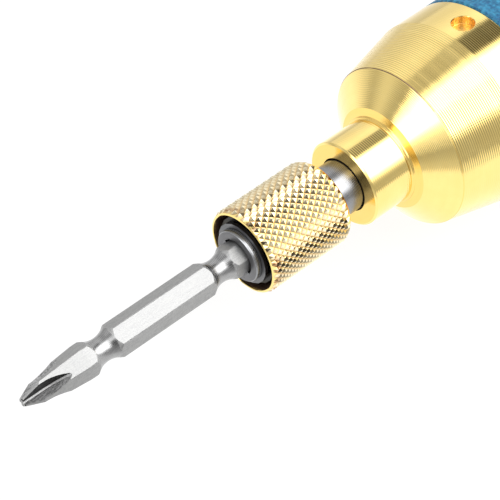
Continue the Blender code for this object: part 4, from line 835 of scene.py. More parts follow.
def make_bit():
    half = [(0, BIT_END_RADIUS), (BIT_END_ROUND, BIT_END_RADIUS + BIT_END_ROUND),
            (BIT_CONE_LENGTH, BIT_CORNER), *groove_outline(BIT_GROOVE)]
    other_half = [(BIT_LENGTH - station, radius) for station, radius in reversed(half)]
    bit = lathe("cross_point_bit", [(0, 0), *half, *other_half, (BIT_LENGTH, 0)])
    other_taper = [(BIT_LENGTH - station, radius) for station, radius in reversed(HEX_TAPER)]
    hexagon = lathe("bit_hexagon", [(HEX_TAPER[0][0], 0), *HEX_TAPER, *other_taper,
                                    (other_taper[-1][0], 0)], HEX_SIDES)
    work_on(hexagon)
    bpy.ops.object.mode_set(mode="EDIT")
    pick("EDGE", lambda edge: abs(edge.verts[0].co.x - edge.verts[1].co.x) > BIT_EDGE)
    bpy.ops.mesh.bevel(offset=BIT_EDGE, segments=2)
    bpy.ops.object.mode_set(mode="OBJECT")
    cut(bit, hexagon, "INTERSECT")
    for tip, into in ((0, 1), (BIT_LENGTH, -1)):
        for quarter in range(4):
            cut(bit, flute_cutter(tip, into, quarter))
    finish_piece(bit, "bit", [bit_steel, flute_steel, groove_steel, lit_wall_steel],
                 ["bit"], 14)
    groove_ends = (BIT_GROOVE - BIT_GROOVE_HALF, BIT_GROOVE + BIT_GROOVE_HALF)
    flute_end = FLUTE_PATH[-2][0]

    def from_end(face):
        return min(face.center.x - TIP, TIP + BIT_LENGTH - face.center.x)

    def off_axis(face):
        return face.center - on_tool(face.center.x - TIP)

    def in_flute(face):
        """The flutes' walls stand nearly along the radius."""
        return MERGE < from_end(face) < flute_end \
            and face.normal.dot(off_axis(face).normalized()) < FLUTE_FACING

    def is_painted_lit(face):
        """The floor and one wall are painted a lighter grey: a painted reflection of the light
        they face.
        """
        return off_axis(face).normalized().cross(face.normal).x < PAINTED_LIT_FACING \
            or abs(face.normal.y) < abs(face.normal.z)

    def in_groove(face):
        return groove_ends[0] < from_end(face) < groove_ends[1] \
            and off_axis(face).length < BIT_FLATS / 2 - MERGE

    paint_faces(bit, 1, in_flute)
    paint_faces(bit, 2, in_groove)
    # painted reflection on the floors and lit walls of the flutes
    paint_faces(bit, 3, lambda face: in_flute(face) and is_painted_lit(face))
    paint_faces(bit, 1, lambda face: from_end(face) < BIT_END_ROUND
                and abs(face.normal.x) < BIT_END_FACING)


def make_anvil():
    groove_front, groove_end, groove_floor = SNAP_GROOVE
    flange_front, flange_end, flange_radius = FLANGE
    anvil = lathe("anvil_shaft", [
        (ANVIL_FRONT, 0), (ANVIL_FRONT, ANVIL_RADIUS - 2 * ANVIL_RIM),
        (ANVIL_FRONT + ANVIL_RIM / 4, ANVIL_RADIUS - ANVIL_RIM),
        (ANVIL_FRONT + ANVIL_RIM, ANVIL_RADIUS - ANVIL_RIM / 4),
        (ANVIL_FRONT + 2 * ANVIL_RIM, ANVIL_RADIUS),
        (groove_front, ANVIL_RADIUS), (groove_front, groove_floor),
        (groove_end, groove_floor), (groove_end, ANVIL_RADIUS),
        (flange_front, ANVIL_RADIUS), (flange_front, flange_radius),
        (flange_end, flange_radius), (flange_end, ANVIL_CORE),
        (ANVIL_END, ANVIL_CORE), (ANVIL_END, 0)])
    corner = (BIT_FLATS / 2 + GAP) / math.cos(math.pi / HEX_SIDES)
    cut(anvil, bar("socket", on_tool(ANVIL_FRONT - OVERRUN), on_tool(ANVIL_FRONT + SOCKET_DEPTH),
                   corner, HEX_SIDES))
    cut(anvil, lathe("socket_mouth", [
        (ANVIL_FRONT - SOCKET_MOUTH, 0), (ANVIL_FRONT - SOCKET_MOUTH, corner + SOCKET_MOUTH),
        (ANVIL_FRONT + SOCKET_MOUTH, corner - SOCKET_MOUTH), (ANVIL_FRONT + SOCKET_MOUTH, 0)]))
    cut(anvil, bar("ball_hole", on_tool(BALL_STATION, -ANVIL_RADIUS - OVERRUN),
                   on_tool(BALL_STATION), BALL_HOLE))
    finish_piece(anvil, "anvil", [shaft_steel, dark_face_steel, socket_shade_black], ["anvil"])
    # the anvil's front face is darker
    paint_faces(anvil, 1, lambda face: face.normal.x < -END_FACING
                and face.center.x - TIP < ANVIL_FRONT + ANVIL_RIM)
    # painted shade on the socket's walls inside the anvil
    paint_faces(anvil, 2, lambda face: face.center.x - TIP < ANVIL_FRONT + SOCKET_DEPTH + MERGE
                and radius_of(face.center) < corner and abs(face.normal.x) < WALL_FACING)


def make_sleeve():
    valley = SLEEVE_RADIUS - KNURL_DEPTH
    edge = THIN_EDGE
    land_front, land_end, land_bore = SLEEVE_LAND
    row = (KNURL_END - KNURL_FRONT) / KNURL_ROWS
    sides = 2 * KNURL_AROUND
    sleeve = lathe("knurled_sleeve", [
        (SLEEVE_FRONT + SLEEVE_MOUTH_TAPER, SLEEVE_BORE),
        (SLEEVE_FRONT + TURNED_EDGE, SLEEVE_MOUTH), (SLEEVE_FRONT + edge, SLEEVE_MOUTH + edge),
        (SLEEVE_FRONT, SLEEVE_MOUTH + 2 * edge), (SLEEVE_FRONT + edge, valley - edge),
        *[(KNURL_FRONT + row * i, valley) for i in range(KNURL_ROWS + 1)],
        (SLEEVE_REAR, valley - 3 * edge), (SLEEVE_REAR, SLEEVE_LIP_BORE),
        (SLEEVE_REAR - SLEEVE_REAR_EDGE, SLEEVE_LIP_BORE),
        (SLEEVE_REAR - 2 * SLEEVE_REAR_EDGE, SLEEVE_POCKET),
        (land_end, SLEEVE_POCKET), (land_end, land_bore), (land_front, land_bore),
        (land_front, SLEEVE_BORE), (SLEEVE_FRONT + SLEEVE_MOUTH_TAPER, SLEEVE_BORE)], sides)
    work_on(sleeve)
    bpy.ops.object.mode_set(mode="EDIT")
    to_world = sleeve.matrix_world.copy()

    def is_point(vertex):
        """Every other crossing of the knurl's rows and columns is a point."""
        place = to_world @ vertex.co
        across, up = place.y, place.z - AXIS_HEIGHT
        i = (place.x - TIP - KNURL_FRONT) / row
        j = math.atan2(across, up) / (2 * math.pi) * sides
        on_knurl = 0.5 < i < KNURL_ROWS - 0.5 and radius_of(place) > valley - MERGE
        return on_knurl and (round(i) + round(j)) % 2 == 1

    pick("VERT", is_point)
    grow = SLEEVE_RADIUS / valley
    bpy.ops.transform.resize(value=(1, grow, grow), center_override=on_tool(0))
    bpy.ops.transform.rotate(value=KNURL_LEAN, orient_axis="X", center_override=on_tool(0))
    pick("FACE", lambda face: all(
        radius_of(to_world @ v.co) > valley - MERGE for v in face.verts))
    bpy.ops.mesh.quads_convert_to_tris(quad_method="SHORTEST_DIAGONAL")
    bpy.ops.object.mode_set(mode="OBJECT")
    finish_piece(sleeve, "sleeve", [knurl_gold, fine_gold, painted_shade_brown],
                 ["chuck_sleeve"], 25)
    paint_faces(sleeve, 1, lambda face: radius_of(face.center) < valley - MERGE)
    # painted shade in the sleeve's bore
    paint_faces(sleeve, 2, lambda face: radius_of(face.center) < SLEEVE_MOUTH
                and face.center.x - TIP < SLEEVE_REAR - TURNED_EDGE)


def make_spring(name, node, body, axis, centre, radius, turns):
    """A coil with closed ends, wound step by step between its node's ends."""
    low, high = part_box(node)
    along = Vector([float(i == axis) for i in range(3)])
    length = (high - low).dot(along)
    closed = COIL_WIRE * COIL_CLOSED_RISE
    free = (length - COIL_WIRE - 2 * closed) / (turns - 2)
    start = centre + along * (low.dot(along) + COIL_WIRE / 2 - centre.dot(along))
    clear_selection()
    bpy.ops.mesh.primitive_circle_add(
        vertices=COIL_SIDES, radius=COIL_WIRE / 2, fill_type="NGON",
        location=start + Vector((0, radius, 0)),
        rotation=(0, math.pi / 2 * along.z, 0))
    spring = name_new_piece(name)
    bpy.ops.object.mode_set(mode="EDIT")
    bpy.ops.mesh.select_mode(type="FACE")
    bpy.ops.mesh.select_all(action="SELECT")
    for step in range(turns * COIL_STEPS):
        in_end_turn = step < COIL_STEPS or step >= (turns - 1) * COIL_STEPS
        rise = (closed if in_end_turn else free) / COIL_STEPS
        pull_out(along * rise)
        bpy.ops.transform.rotate(value=2 * math.pi / COIL_STEPS, orient_axis="XYZ"[axis],
                                 center_override=start)
    end_mesh()
    finish_piece(spring, body, [dark_steel], [node], 60)
    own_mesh(spring)


# Hammer case and housing

def spanner_hole_cutter():
    """A blind hole, square to the barrel."""
    tilt = math.radians(SPANNER_HOLE_DEGREES)
    outward = Vector((0, math.sin(tilt), math.cos(tilt)))
    on_axis = on_tool(SPANNER_HOLE_STATION)
    floor = on_axis + outward * (BODY_RADIUS - SPANNER_HOLE_DEPTH)
    top = on_axis + outward * (BODY_RADIUS + OVERRUN)
    return bar("spanner_hole", floor, top, SPANNER_HOLE)


def make_case():
    line = SCRIBED_LINE
    cove_start = NECK_END + NECK_COVE[0][0]
    case = lathe("turned_case", [
        (NOSE_FRONT, NOSE_MOUTH), (NOSE_FRONT, NECK_RADIUS - TURNED_EDGE),
        (NOSE_FRONT + NECK_STEP, NECK_RADIUS),
        *[(NECK_END + along, NECK_RADIUS + rise) for along, rise in NECK_COVE],
        (NECK_END + NECK_STEP, STEP_RADIUS),
        (SHOULDER_END - line, SHOULDER_RADIUS - line), (SHOULDER_END, SHOULDER_RADIUS - line),
        (SHOULDER_END + line, SHOULDER_RADIUS + line / 4),
        (TAPER_END, BODY_RADIUS),
        (SPANNER_HOLE_STATION - HOLE_LOOPS * SPANNER_HOLE, BODY_RADIUS),
        (SPANNER_HOLE_STATION + HOLE_LOOPS * SPANNER_HOLE, BODY_RADIUS),
        (CASE_END - line, BODY_RADIUS), (CASE_END, BODY_RADIUS - line),
        (CASE_END, SPIGOT_RADIUS), (SPIGOT_END, SPIGOT_RADIUS), (SPIGOT_END, CAVITY_RADIUS),
        (TAPER_END, CAVITY_RADIUS), (CAVITY_FRONT, CAVITY_MOUTH), (CAVITY_FRONT, NOSE_BORE),
        (NOSE_FRONT + NOSE_LIP, NOSE_BORE), (NOSE_FRONT + NOSE_LIP, NOSE_MOUTH),
        (NOSE_FRONT, NOSE_MOUTH)])
    break_edges(case, FINE_EDGE, 2, 40)
    cut(case, spanner_hole_cutter())
    break_edges(case, FINE_EDGE, 2, 50)
    finish_piece(case, "case",
                 [gold, fine_gold, painted_shade_brown, painted_amber_gold, hole_shade_gold], ["hammer_case"], 10)
    paint_faces(case, 1, lambda face: not SHOULDER_END < face.center.x - TIP < TAPER_END)
    # painted reflection: the nose's front face and the cove at the neck's end are painted amber
    paint_faces(case, 3, lambda face: face.center.x - TIP < NOSE_FRONT + MERGE
                or cove_start < face.center.x - TIP < NECK_END + NECK_STEP)
    # painted shade in the nose's bore
    paint_faces(case, 2, lambda face: radius_of(face.center) < NOSE_BORE + MERGE
                and face.normal.x > -WALL_FACING)

    def in_scribed_line(face):
        return 0 < face.center.x - TIP - SHOULDER_END < SCRIBED_LINE

    # painted shade: the scribed line is painted amber all round
    paint_faces(case, 3, in_scribed_line)
    paint_faces(case, 2, lambda face: in_scribed_line(face)  # painted shade in this stretch of the line
                and SHADED_LINE_TURNS[0] < turn_of(face.center) < SHADED_LINE_TURNS[1])
    # painted shade and reflection: the spanner hole's wall and floor are painted a deeper amber
    paint_faces(case, 4, lambda face: face.center.x - TIP > TAPER_END + SPANNER_HOLE
                and face.center.x - TIP < CASE_END - line
                and CAVITY_RADIUS + MERGE < radius_of(face.center) < BODY_RADIUS - 2 * line)


def waist(station):
    share = (station - GRIP_FRONT) / (GRIP_END - GRIP_FRONT)
    return GRIP_RADIUS - GRIP_WAIST * math.sin(math.pi * share)


def make_housing():
    steps = 12
    taper = []
    for i in range(steps):
        share = i / steps
        taper.append((HOUSING_TAPER_FRONT + (GRIP_FRONT - HOUSING_TAPER_FRONT) * share,
                      GRIP_RADIUS + (BODY_RADIUS - GRIP_RADIUS)
                      * (1 + math.cos(math.pi * share)) / 2))
    grip = [GRIP_FRONT + (GRIP_END - GRIP_FRONT) * i / steps for i in range(steps)]
    housing = lathe("coated_housing", [
        (HOUSING_FRONT, HOUSING_SOCKET), (HOUSING_FRONT, BODY_RADIUS - TURNED_EDGE),
        (HOUSING_FRONT + TURNED_EDGE, BODY_RADIUS), *taper, *[(s, waist(s)) for s in grip],
        (GRIP_END - GRIP_END_EDGE, GRIP_RADIUS), (GRIP_END, GRIP_RADIUS - GRIP_END_EDGE),
        (GRIP_END, MOTOR_BORE), (HOUSING_STEP, MOTOR_BORE), (HOUSING_STEP, HOUSING_SOCKET),
        (HOUSING_FRONT, HOUSING_SOCKET)])
    finish_piece(housing, "case", [blue_coat, aluminium], ["motor_housing"])
    paint_faces(housing, 1, lambda face: radius_of(face.center) < GRIP_RADIUS - WIDE_EDGE)


# Rear end

def make_reverse_ring():
    ring = lathe("reverse_ring_grip", [
        (RING_FRONT, RING_BORE), (RING_FRONT, RING_RADIUS - TURNED_EDGE),
        (RING_FRONT + TURNED_EDGE, RING_RADIUS), (RING_END - TURNED_EDGE, RING_RADIUS),
        (RING_END, RING_RADIUS - TURNED_EDGE), (RING_END, RING_BORE), (RING_FRONT, RING_BORE)])
    reach = RING_RADIUS + RING_GRIP_RADIUS - RING_GRIP_DEPTH
    for i in range(RING_GRIPS):
        scoop = bar("scoop", on_tool(RING_FRONT + WIDE_EDGE, 0, reach),
                    on_tool(RING_END - WIDE_EDGE, 0, reach), RING_GRIP_RADIUS)
        break_edges(scoop, RING_GRIP_ROUND, 4, 60)
        cut(ring, turn_round(scoop, 360 * (i + 0.5) / RING_GRIPS))
    break_edges(ring, FINE_EDGE, 2, 30)
    finish_piece(ring, "reverse", [ring_black], ["reverse_ring"])


def head_outline():
    muffler_inner, muffler_outer = MUFFLER_SPACE
    cone_front, cone_end = HEAD_CONE
    thread = THREAD_RADIUS + GAP
    thread_end = HEAD_END - THREAD_LENGTH - GAP
    return [
        (VALVE_SHELF, 0), (VALVE_SHELF, SHELL_BORE), (SHELL_FRONT, SHELL_BORE),
        (SHELL_FRONT, MOTOR_RADIUS), (HEAD_FRONT, MOTOR_RADIUS),
        (HEAD_FRONT, BODY_RADIUS - HEAD_CHAMFER), (HEAD_FRONT + HEAD_CHAMFER, BODY_RADIUS),
        (cone_front, BODY_RADIUS), (cone_end, HEAD_END_RADIUS),
        (HEAD_END - TURNED_EDGE, HEAD_END_RADIUS), (HEAD_END, HEAD_END_RADIUS - TURNED_EDGE),
        (HEAD_END, muffler_outer), (HEAD_END - MUFFLER_DEPTH, muffler_outer),
        (HEAD_END - MUFFLER_DEPTH, muffler_inner), (HEAD_END, muffler_inner),
        (HEAD_END, thread), (thread_end, thread), (thread_end, 0)]


def add_ears(head):
    """Two rounded ears carry the lever's pin, with a slot for the lever between them."""
    ears = sheet("ears", [(PIVOT + EAR_RADIUS, EAR_FOOT),
                          *arc((PIVOT, PIVOT_HEIGHT), EAR_RADIUS, 0, 180, SMALL_SIDES),
                          (PIVOT - EAR_RADIUS, EAR_FOOT)], 2 * EARS_HALF)
    break_edges(ears, EAR_ROUND, 3, 40)
    cut(head, ears, "UNION")
    cut(head, block("lever_slot", (HEAD_FRONT - OVERRUN, -LEVER_SLOT_HALF,
                                   BODY_RADIUS - LEVER_SLOT_DEPTH),
                    (HEAD_END, LEVER_SLOT_HALF, PIVOT_HEIGHT + 2 * EAR_RADIUS), TURNED_EDGE))
    cut(head, bar("pin_hole", on_tool(PIVOT, -2 * EARS_HALF, PIVOT_HEIGHT),
                  on_tool(PIVOT, 2 * EARS_HALF, PIVOT_HEIGHT), PIVOT_PIN + GAP))


def bore_head(head):
    """The throttle's bores, the air passages, the reversing slot and the blind holes."""
    below, above = -BODY_RADIUS - OVERRUN, BODY_RADIUS + OVERRUN
    mouth = -BODY_RADIUS + TURNED_EDGE
    slot_station, slot_half, slot_reach = REVERSE_SLOT
    detent_radius, detent_offset, detent_end = DETENT_HOLE
    passage, passage_height = AIR_PASSAGE
    for radius, start, end in (
            (VALVE_BORE, (THROTTLE, 0, below), (THROTTLE, 0, VALVE_SEAT_TOP + GAP)),
            (VALVE_BORE + TURNED_EDGE, (THROTTLE, 0, below), (THROTTLE, 0, mouth)),
            (VALVE_PORT, (THROTTLE, 0, VALVE_SEAT_TOP), (THROTTLE, 0, VALVE_CHAMBER_TOP)),
            (THROTTLE_PIN + GAP, (THROTTLE, 0, VALVE_CHAMBER_TOP - GAP), (THROTTLE, 0, above)),
            (passage, (VALVE_SHELF - GAP, 0, passage_height), (THROTTLE, 0, passage_height)),
            (INLET_PASSAGE, (THROTTLE, 0, 0), (HEAD_END - THREAD_LENGTH, 0, 0)),
            (detent_radius, (HEAD_FRONT - OVERRUN, detent_offset, 0),
             (detent_end, detent_offset, 0))):
        cut(head, bar("bore", on_tool(*start), on_tool(*end), radius))
    cut(head, block("reverse_slot", (slot_station - slot_half, -slot_reach,
                                     -MOTOR_RADIUS - OVERRUN),
                    (slot_station + slot_half, slot_reach, OVERRUN - SHELL_BORE)))
    for side in (-1, 1):
        cut(head, bar("bail_hole", on_tool(BAIL_STATION, side * (HEAD_END_RADIUS + OVERRUN)),
                      on_tool(BAIL_STATION, side * (HEAD_END_RADIUS - BAIL_HOLE_DEPTH)),
                      BAIL_WIRE + GAP))


def make_head():
    head = lathe("machined_head", head_outline())
    add_ears(head)
    bore_head(head)
    finish_piece(head, "case", [aluminium], ["rear_head"], 20)


def lever_point(along, up):
    """A point of the lever, turned to its place at rest."""
    turn = math.radians(LEVER_DEGREES)
    return (PIVOT + along * math.cos(turn) + up * math.sin(turn),
            PIVOT_HEIGHT - along * math.sin(turn) + up * math.cos(turn))


def make_lever():
    """A channel pressed from sheet, with its eye on the pin and a lip at the front."""
    lip_length, lip_rise = LEVER_LIP
    front = -LEVER_LENGTH
    lip = front + lip_length
    lip_top = LEVER_TOP + lip_rise
    below = math.degrees(math.asin(LEVER_SKIRT / LEVER_EYE))
    above = math.degrees(math.asin(LEVER_TOP / LEVER_EYE))
    outline = [(lip, -LEVER_SKIRT), *arc((0, 0), LEVER_EYE, -180 + below, 180 - above, EYE_STEPS),
               (lip + LEVER_BEND, LEVER_TOP), (lip, LEVER_TOP + 2 * THIN_EDGE),
               (front + WIDE_EDGE, lip_top - THIN_EDGE), (front, lip_top - LEVER_ROUND),
               (front, lip_top - LEVER_SKIN + TURNED_EDGE),
               (front + LEVER_BEND / 2, lip_top - LEVER_SKIN)]
    lever = sheet("pressed_lever", [lever_point(*point) for point in outline], LEVER_WIDTH)
    roof = LEVER_TOP - LEVER_SKIN
    start, end = lip + 2 * LEVER_SKIN, -LEVER_EYE - LEVER_SKIN
    channel = [(start, -LEVER_SKIRT - OVERRUN), (end, -LEVER_SKIRT - OVERRUN), (end, roof),
               (start, roof)]
    cut(lever, sheet("channel", [lever_point(*point) for point in channel],
                     LEVER_WIDTH - 2 * LEVER_SKIN))
    pivot = on_tool(PIVOT, 0, PIVOT_HEIGHT)
    across = Vector((0, LEVER_WIDTH, 0))
    cut(lever, bar("eye", pivot - across, pivot + across, PIVOT_PIN + GAP))
    break_edges(lever, LEVER_ROUND, 3, 40)
    finish_piece(lever, "lever", [lever_black], ["throttle_lever"])


def make_lever_pin():
    """A pin with rounded ends that are drilled for riveting."""
    pin = bar("riveted_pin", on_tool(PIVOT, -EARS_HALF, PIVOT_HEIGHT),
              on_tool(PIVOT, EARS_HALF, PIVOT_HEIGHT), PIVOT_PIN)
    break_edges(pin, PIVOT_PIN_ROUND, 3, 60)
    work_on(pin)
    bpy.ops.object.transform_apply(location=True, rotation=True, scale=True)
    bpy.ops.object.mode_set(mode="EDIT")
    pick("FACE", lambda face: abs(face.normal.y) > PIN_END_FACING)
    bpy.ops.mesh.inset(thickness=PIVOT_PIN / 4)
    bpy.ops.mesh.inset(thickness=PIVOT_PIN / 8, depth=-PIVOT_PIN / 4)
    bpy.ops.object.mode_set(mode="OBJECT")
    finish_piece(pin, "case", [bright_steel], ["lever_pin"])


def make_inlet():
    """The inlet's hexagon with its corners turned off, and the thread in its bore."""
    front, end = HEAD_END - THREAD_LENGTH, TOOL_END - INLET_BORE_DEPTH
    first, last = INLET_HEX
    chamfer = INLET_CHAMFER
    thread = []
    for i in range(INLET_THREADS):
        station = TOOL_END - chamfer - INLET_THREAD_PITCH * i
        thread += [(station, INLET_BORE + INLET_THREAD_HEIGHT),
                   (station - INLET_THREAD_PITCH / 2, INLET_BORE)]
    bushing = lathe("inlet_fitting", [
        (front, INLET_PASSAGE), (front, THREAD_RADIUS - TURNED_EDGE),
        (front + TURNED_EDGE, THREAD_RADIUS), (first + GAP, THREAD_RADIUS),
        (last - GAP, INLET_COLLAR - TURNED_EDGE), (last + GAP, INLET_COLLAR),
        (TOOL_END - INLET_EDGE, INLET_COLLAR), (TOOL_END, INLET_COLLAR - INLET_EDGE),
        (TOOL_END, INLET_BORE + INLET_THREAD_HEIGHT + chamfer / 2), *thread, (end, INLET_BORE),
        (end, INLET_PASSAGE), (front, INLET_PASSAGE)])
    nut = bar("hexagon", on_tool(first), on_tool(last), INLET_HEX_CORNER, HEX_SIDES,
              math.pi / HEX_SIDES)
    over = INLET_HEX_CORNER + GAP
    cut(nut, lathe("turned_corners", [
        (first - GAP, 0), (first - GAP, over - chamfer), (first + chamfer / 2, over),
        (last - chamfer / 2, over), (last + GAP, over - chamfer), (last + GAP, 0)]), "INTERSECT")
    cut(nut, lathe("hexagon_bore", [
        (first - OVERRUN, 0), (first - OVERRUN, INLET_BORE + chamfer),
        (last + OVERRUN, INLET_BORE + chamfer), (last + OVERRUN, 0)]))
    cut(bushing, nut, "UNION")
    finish_piece(bushing, "case", [plated_steel], ["inlet_bushing"], 20)


def make_deflector():
    first, last = DEFLECTOR
    low, high = DEFLECTOR_RADII
    width, length = DEFLECTOR_SLOT
    plate = lathe("slotted_deflector", [
        (first, low), (first, high), (last - TURNED_EDGE, high), (last, high - TURNED_EDGE),
        (last, low + DEFLECTOR_EDGE), (last - DEFLECTOR_EDGE, low), (first, low)])
    middle = (low + high) / 2
    for i in range(DEFLECTOR_SLOTS):
        slot = block("slot", (first - OVERRUN, -width / 2, middle - length / 2),
                     (last + OVERRUN, width / 2, middle + length / 2), width * SLOT_ROUND)
        cut(plate, turn_round(slot, 360 * i / DEFLECTOR_SLOTS))
    finish_piece(plate, "case", [ring_black], ["exhaust_deflector"])


def make_bail():
    """A half ring of wire, drawn from one end by sweeps, with its ends turned in."""
    start = HEAD_END_RADIUS - BAIL_HOLE_DEPTH + GAP
    straight = BAIL_RADIUS - BAIL_CORNER - start
    corner = math.degrees(math.asin(BAIL_CORNER / BAIL_RADIUS))
    clear_selection()
    bpy.ops.mesh.primitive_circle_add(
        vertices=SMALL_SIDES // 2, radius=BAIL_WIRE, fill_type="NGON",
        location=on_tool(BAIL_STATION, start), rotation=(math.pi / 2, 0, 0))
    bail = name_new_piece("wire_bail")
    bpy.ops.object.mode_set(mode="EDIT")
    bpy.ops.mesh.select_mode(type="FACE")
    bpy.ops.mesh.select_all(action="SELECT")
    pull_out((0, straight, 0))
    for steps, degrees, centre in (
            (8, 90, on_tool(BAIL_STATION, BAIL_RADIUS - BAIL_CORNER, -BAIL_CORNER)),
            (64, 180 - 2 * corner, on_tool(BAIL_STATION)),
            (8, 90, on_tool(BAIL_STATION, BAIL_CORNER - BAIL_RADIUS, -BAIL_CORNER))):
        bpy.ops.mesh.spin(steps=steps, angle=math.radians(degrees), center=centre,
                          axis=(1, 0, 0))
    pull_out((0, straight, 0))
    merge_doubles()
    end_mesh()
    finish_piece(bail, "bail", [bright_steel], ["hang_bail"], 60)


# Floor, light and camera

# Degrees round the tool's axis, from straight up towards the camera, and the level of light.
AHEAD = [  # seen by faces that look towards the bit
    (-180, 0.20), (-100, 0.18), (-90, 0.14), (-84, 0.13), (-80, 0.18), (-68, 0.18), (-60, 0.12),
    (-42, 0.10), (-38, 0.5), (-32, 1.0), (30, 1.0), (48, 0.45), (66, 0.25), (90, 0.21),
    (180, 0.2)]
AT_CAMERA = [  # seen by faces turned to the camera, which is dark against the light
    (-180, 0.21), (-100, 0.18), (-92, 0.13), (-84, 0.13), (-78, 0.18), (-45, 0.22), (-32, 0.22),
    (-26, 0.12), (-7, 0.12), (0, 0.4), (24, 0.45), (30, 0.015), (36, 0.008), (60, 0.008),
    (66, 0.07), (94, 0.10), (100, 0.22), (180, 0.21)]
BESIDE = [  # seen by faces that look square off the tool
    (-180, 0.21), (-90, 0.2), (-75, 0.13), (-60, 0.14), (-45, 0.15), (-30, 0.14), (-8, 0.14),
    (0, 0.45), (5, 1.0), (54, 1.0), (62, 0.4), (68, 0.13), (88, 0.13), (94, 0.22), (180, 0.21)]
BETWEEN = [  # seen by cones that look a little back
    (-180, 0.21), (-90, 0.2), (-75, 0.22), (-60, 0.26), (-45, 0.28), (-32, 0.24), (-8, 0.2),
    (0, 0.45), (5, 1.0), (54, 1.0), (62, 0.4), (68, 0.15), (88, 0.13), (94, 0.22), (180, 0.21)]
BEHIND = [  # seen by faces that look back along the tool
    (-180, 0.21), (-75, 0.2), (-60, 0.24), (-46, 0.29), (-35, 0.27), (-31, 0.03), (-6, 0.02),
    (-2, 0.35), (5, 1.0), (54, 1.0), (66, 0.4), (74, 0.17), (79, 0.12), (88, 0.12), (94, 0.22),
    (180, 0.21)]
STUDIO_ZONES = [  # each fades in as a direction's X goes from the first value to the second
    (AT_CAMERA, -0.8, -0.6), (BESIDE, -0.12, 0.08), (BETWEEN, 0.2, 0.3), (BEHIND, 0.4, 0.6)]
STUDIO_STRENGTH = 4.5
STUDIO_ON_MATT = 0.41  # of the strength, so that a matt colour renders about as written


def level_ramp(tree, share, stops):
    """Levels of light between stops of (share, level)."""
    levels = add_node(tree, "ValToRGB", {0: share})
    elements = levels.color_ramp.elements
    for element, (place, level) in zip(elements, (stops[0], stops[-1])):
        element.position = place
        element.color = (level, level, level, 1)
    for place, level in stops[1:-1]:
        elements.new(place).color = (level, level, level, 1)
    return levels.outputs[0]


def light_round_tool(tree, turn, stops):
    return level_ramp(tree, turn, [(degrees / 360 + 0.5, level) for degrees, level in stops])


def make_studio():
    """A bright studio. Long soft boxes run along the tool, with dark gaps between them."""
    world = bpy.data.worlds.new("studio")
    bpy.context.scene.world = world
    world.use_nodes = True
    tree = world.node_tree
    tree.nodes.clear()
    direction = add_node(tree, "TexCoord")
    split = add_node(tree, "SeparateXYZ", {0: direction.outputs["Generated"]})
    toward = maths(tree, "MULTIPLY", split.outputs["Y"], -1.0)
    angle = maths(tree, "ARCTAN2", toward, split.outputs["Z"])
    turn = maths(tree, "MULTIPLY_ADD", angle, 1 / (2 * math.pi), 0.5)
    levels = light_round_tool(tree, turn, AHEAD)
    for stops, start, end in STUDIO_ZONES:
        levels = add_node(tree, "Mix", {0: ramp(tree, split.outputs["X"], start, end),
                                        6: levels, 7: light_round_tool(tree, turn, stops)},
                          data_type="RGBA").outputs[2]
    path = add_node(tree, "LightPath")
    matt = maths(tree, "MULTIPLY_ADD", path.outputs["Is Diffuse Ray"],
                 STUDIO_STRENGTH * (STUDIO_ON_MATT - 1), STUDIO_STRENGTH)
    light = add_node(tree, "Background", {"Color": levels, "Strength": matt})
    white = add_node(tree, "Background", {"Color": (1, 1, 1, 1), "Strength": 1.0})
    mix = add_node(tree, "MixShader", {0: path.outputs["Is Camera Ray"],
                                       1: light.outputs[0], 2: white.outputs[0]})
    add_node(tree, "OutputWorld", {"Surface": mix.outputs[0]})


SHEET_OUTWARD = (-0.64, -0.77, 0)  # from the tool towards the camera
FLOOR_SIZE = 6
FLOOR_SEEN = 0.9  # the level that the camera sees
FLOOR_ON_MATT = 0.5  # the level that lights matt pieces
SHEET = [  # metres from the tool, and the level that metal reflects
    (-0.5, 0.5), (-0.15, 0.6), (-0.07, 0.8), (-0.03, 1.1), (0.09, 1.1), (0.096, 0.6),
    (0.2, 0.36), (0.5, 0.3)]


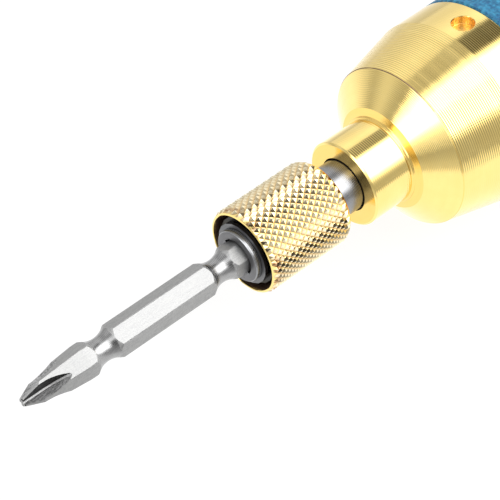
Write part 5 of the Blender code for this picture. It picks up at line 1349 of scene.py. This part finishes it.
def make_floor():
    """A pale sheet. Metal reflects its end towards the camera, and the dark room beyond."""
    clear_selection()
    bpy.ops.mesh.primitive_plane_add(size=FLOOR_SIZE, location=(0, 0, 0))
    floor = name_new_piece("floor")
    finish = bpy.data.materials.new("pale floor")
    finish.use_nodes = True
    tree = finish.node_tree
    shader = tree.nodes["Principled BSDF"]
    shader.inputs["Base Color"].default_value = (0.14, 0.14, 0.14, 1)
    shader.inputs["Roughness"].default_value = 1
    shader.inputs["Specular IOR Level"].default_value = 0
    shader.inputs["Emission Color"].default_value = (1, 1, 1, 1)
    place = add_node(tree, "TexCoord")
    outward = add_node(tree, "VectorMath", {0: place.outputs["Object"], 1: SHEET_OUTWARD},
                       operation="DOT_PRODUCT")
    share = maths(tree, "ADD", outward.outputs["Value"], 0.5)
    levels = level_ramp(tree, share, [(reach + 0.5, level) for reach, level in SHEET])
    path = add_node(tree, "LightPath")
    matt = add_node(tree, "Mix", {0: path.outputs["Is Glossy Ray"], 2: FLOOR_ON_MATT,
                                  3: levels}, data_type="FLOAT")
    seen = add_node(tree, "Mix", {0: path.outputs["Is Camera Ray"], 2: matt.outputs[0],
                                  3: FLOOR_SEEN}, data_type="FLOAT")
    tree.links.new(seen.outputs[0], shader.inputs["Emission Strength"])
    finish.cycles.emission_sampling = "NONE"
    floor.data.materials.append(finish)


def make_camera():
    azimuth, elevation = math.radians(CAMERA_AZIMUTH), math.radians(CAMERA_ELEVATION)
    back = Vector((math.sin(azimuth) * math.cos(elevation),
                   -math.cos(azimuth) * math.cos(elevation), math.sin(elevation)))
    rise = Vector((1, 0, 0)).cross(back).normalized()
    aim = on_tool(CAMERA_AIM) + rise * CAMERA_AIM_RISE
    data = bpy.data.cameras.new("camera")
    data.lens = CAMERA_LENS
    data.clip_start = 0.01
    camera = bpy.data.objects.new("camera", data)
    camera.location = aim + back * CAMERA_DISTANCE
    camera.rotation_euler = back.to_track_quat("Z", "Y").to_euler()
    bpy.context.scene.collection.objects.link(camera)
    bpy.context.scene.camera = camera


dress_cad_nodes()
make_bit()
make_anvil()
make_sleeve()
make_spring("chuck_coil", "chuck_spring", "anvil", 0, on_tool(0),
            SLEEVE_BORE - GAP - COIL_WIRE / 2, CHUCK_SPRING_TURNS)
make_spring("valve_coil", "valve_spring", "case", 2, on_tool(THROTTLE),
            VALVE_SPRING_RADIUS, VALVE_SPRING_TURNS)
make_case()
make_housing()
make_reverse_ring()
make_head()
make_lever()
make_lever_pin()
make_inlet()
make_deflector()
make_bail()
make_studio()
make_floor()
make_camera()
bpy.context.scene.view_settings.view_transform = "Standard"
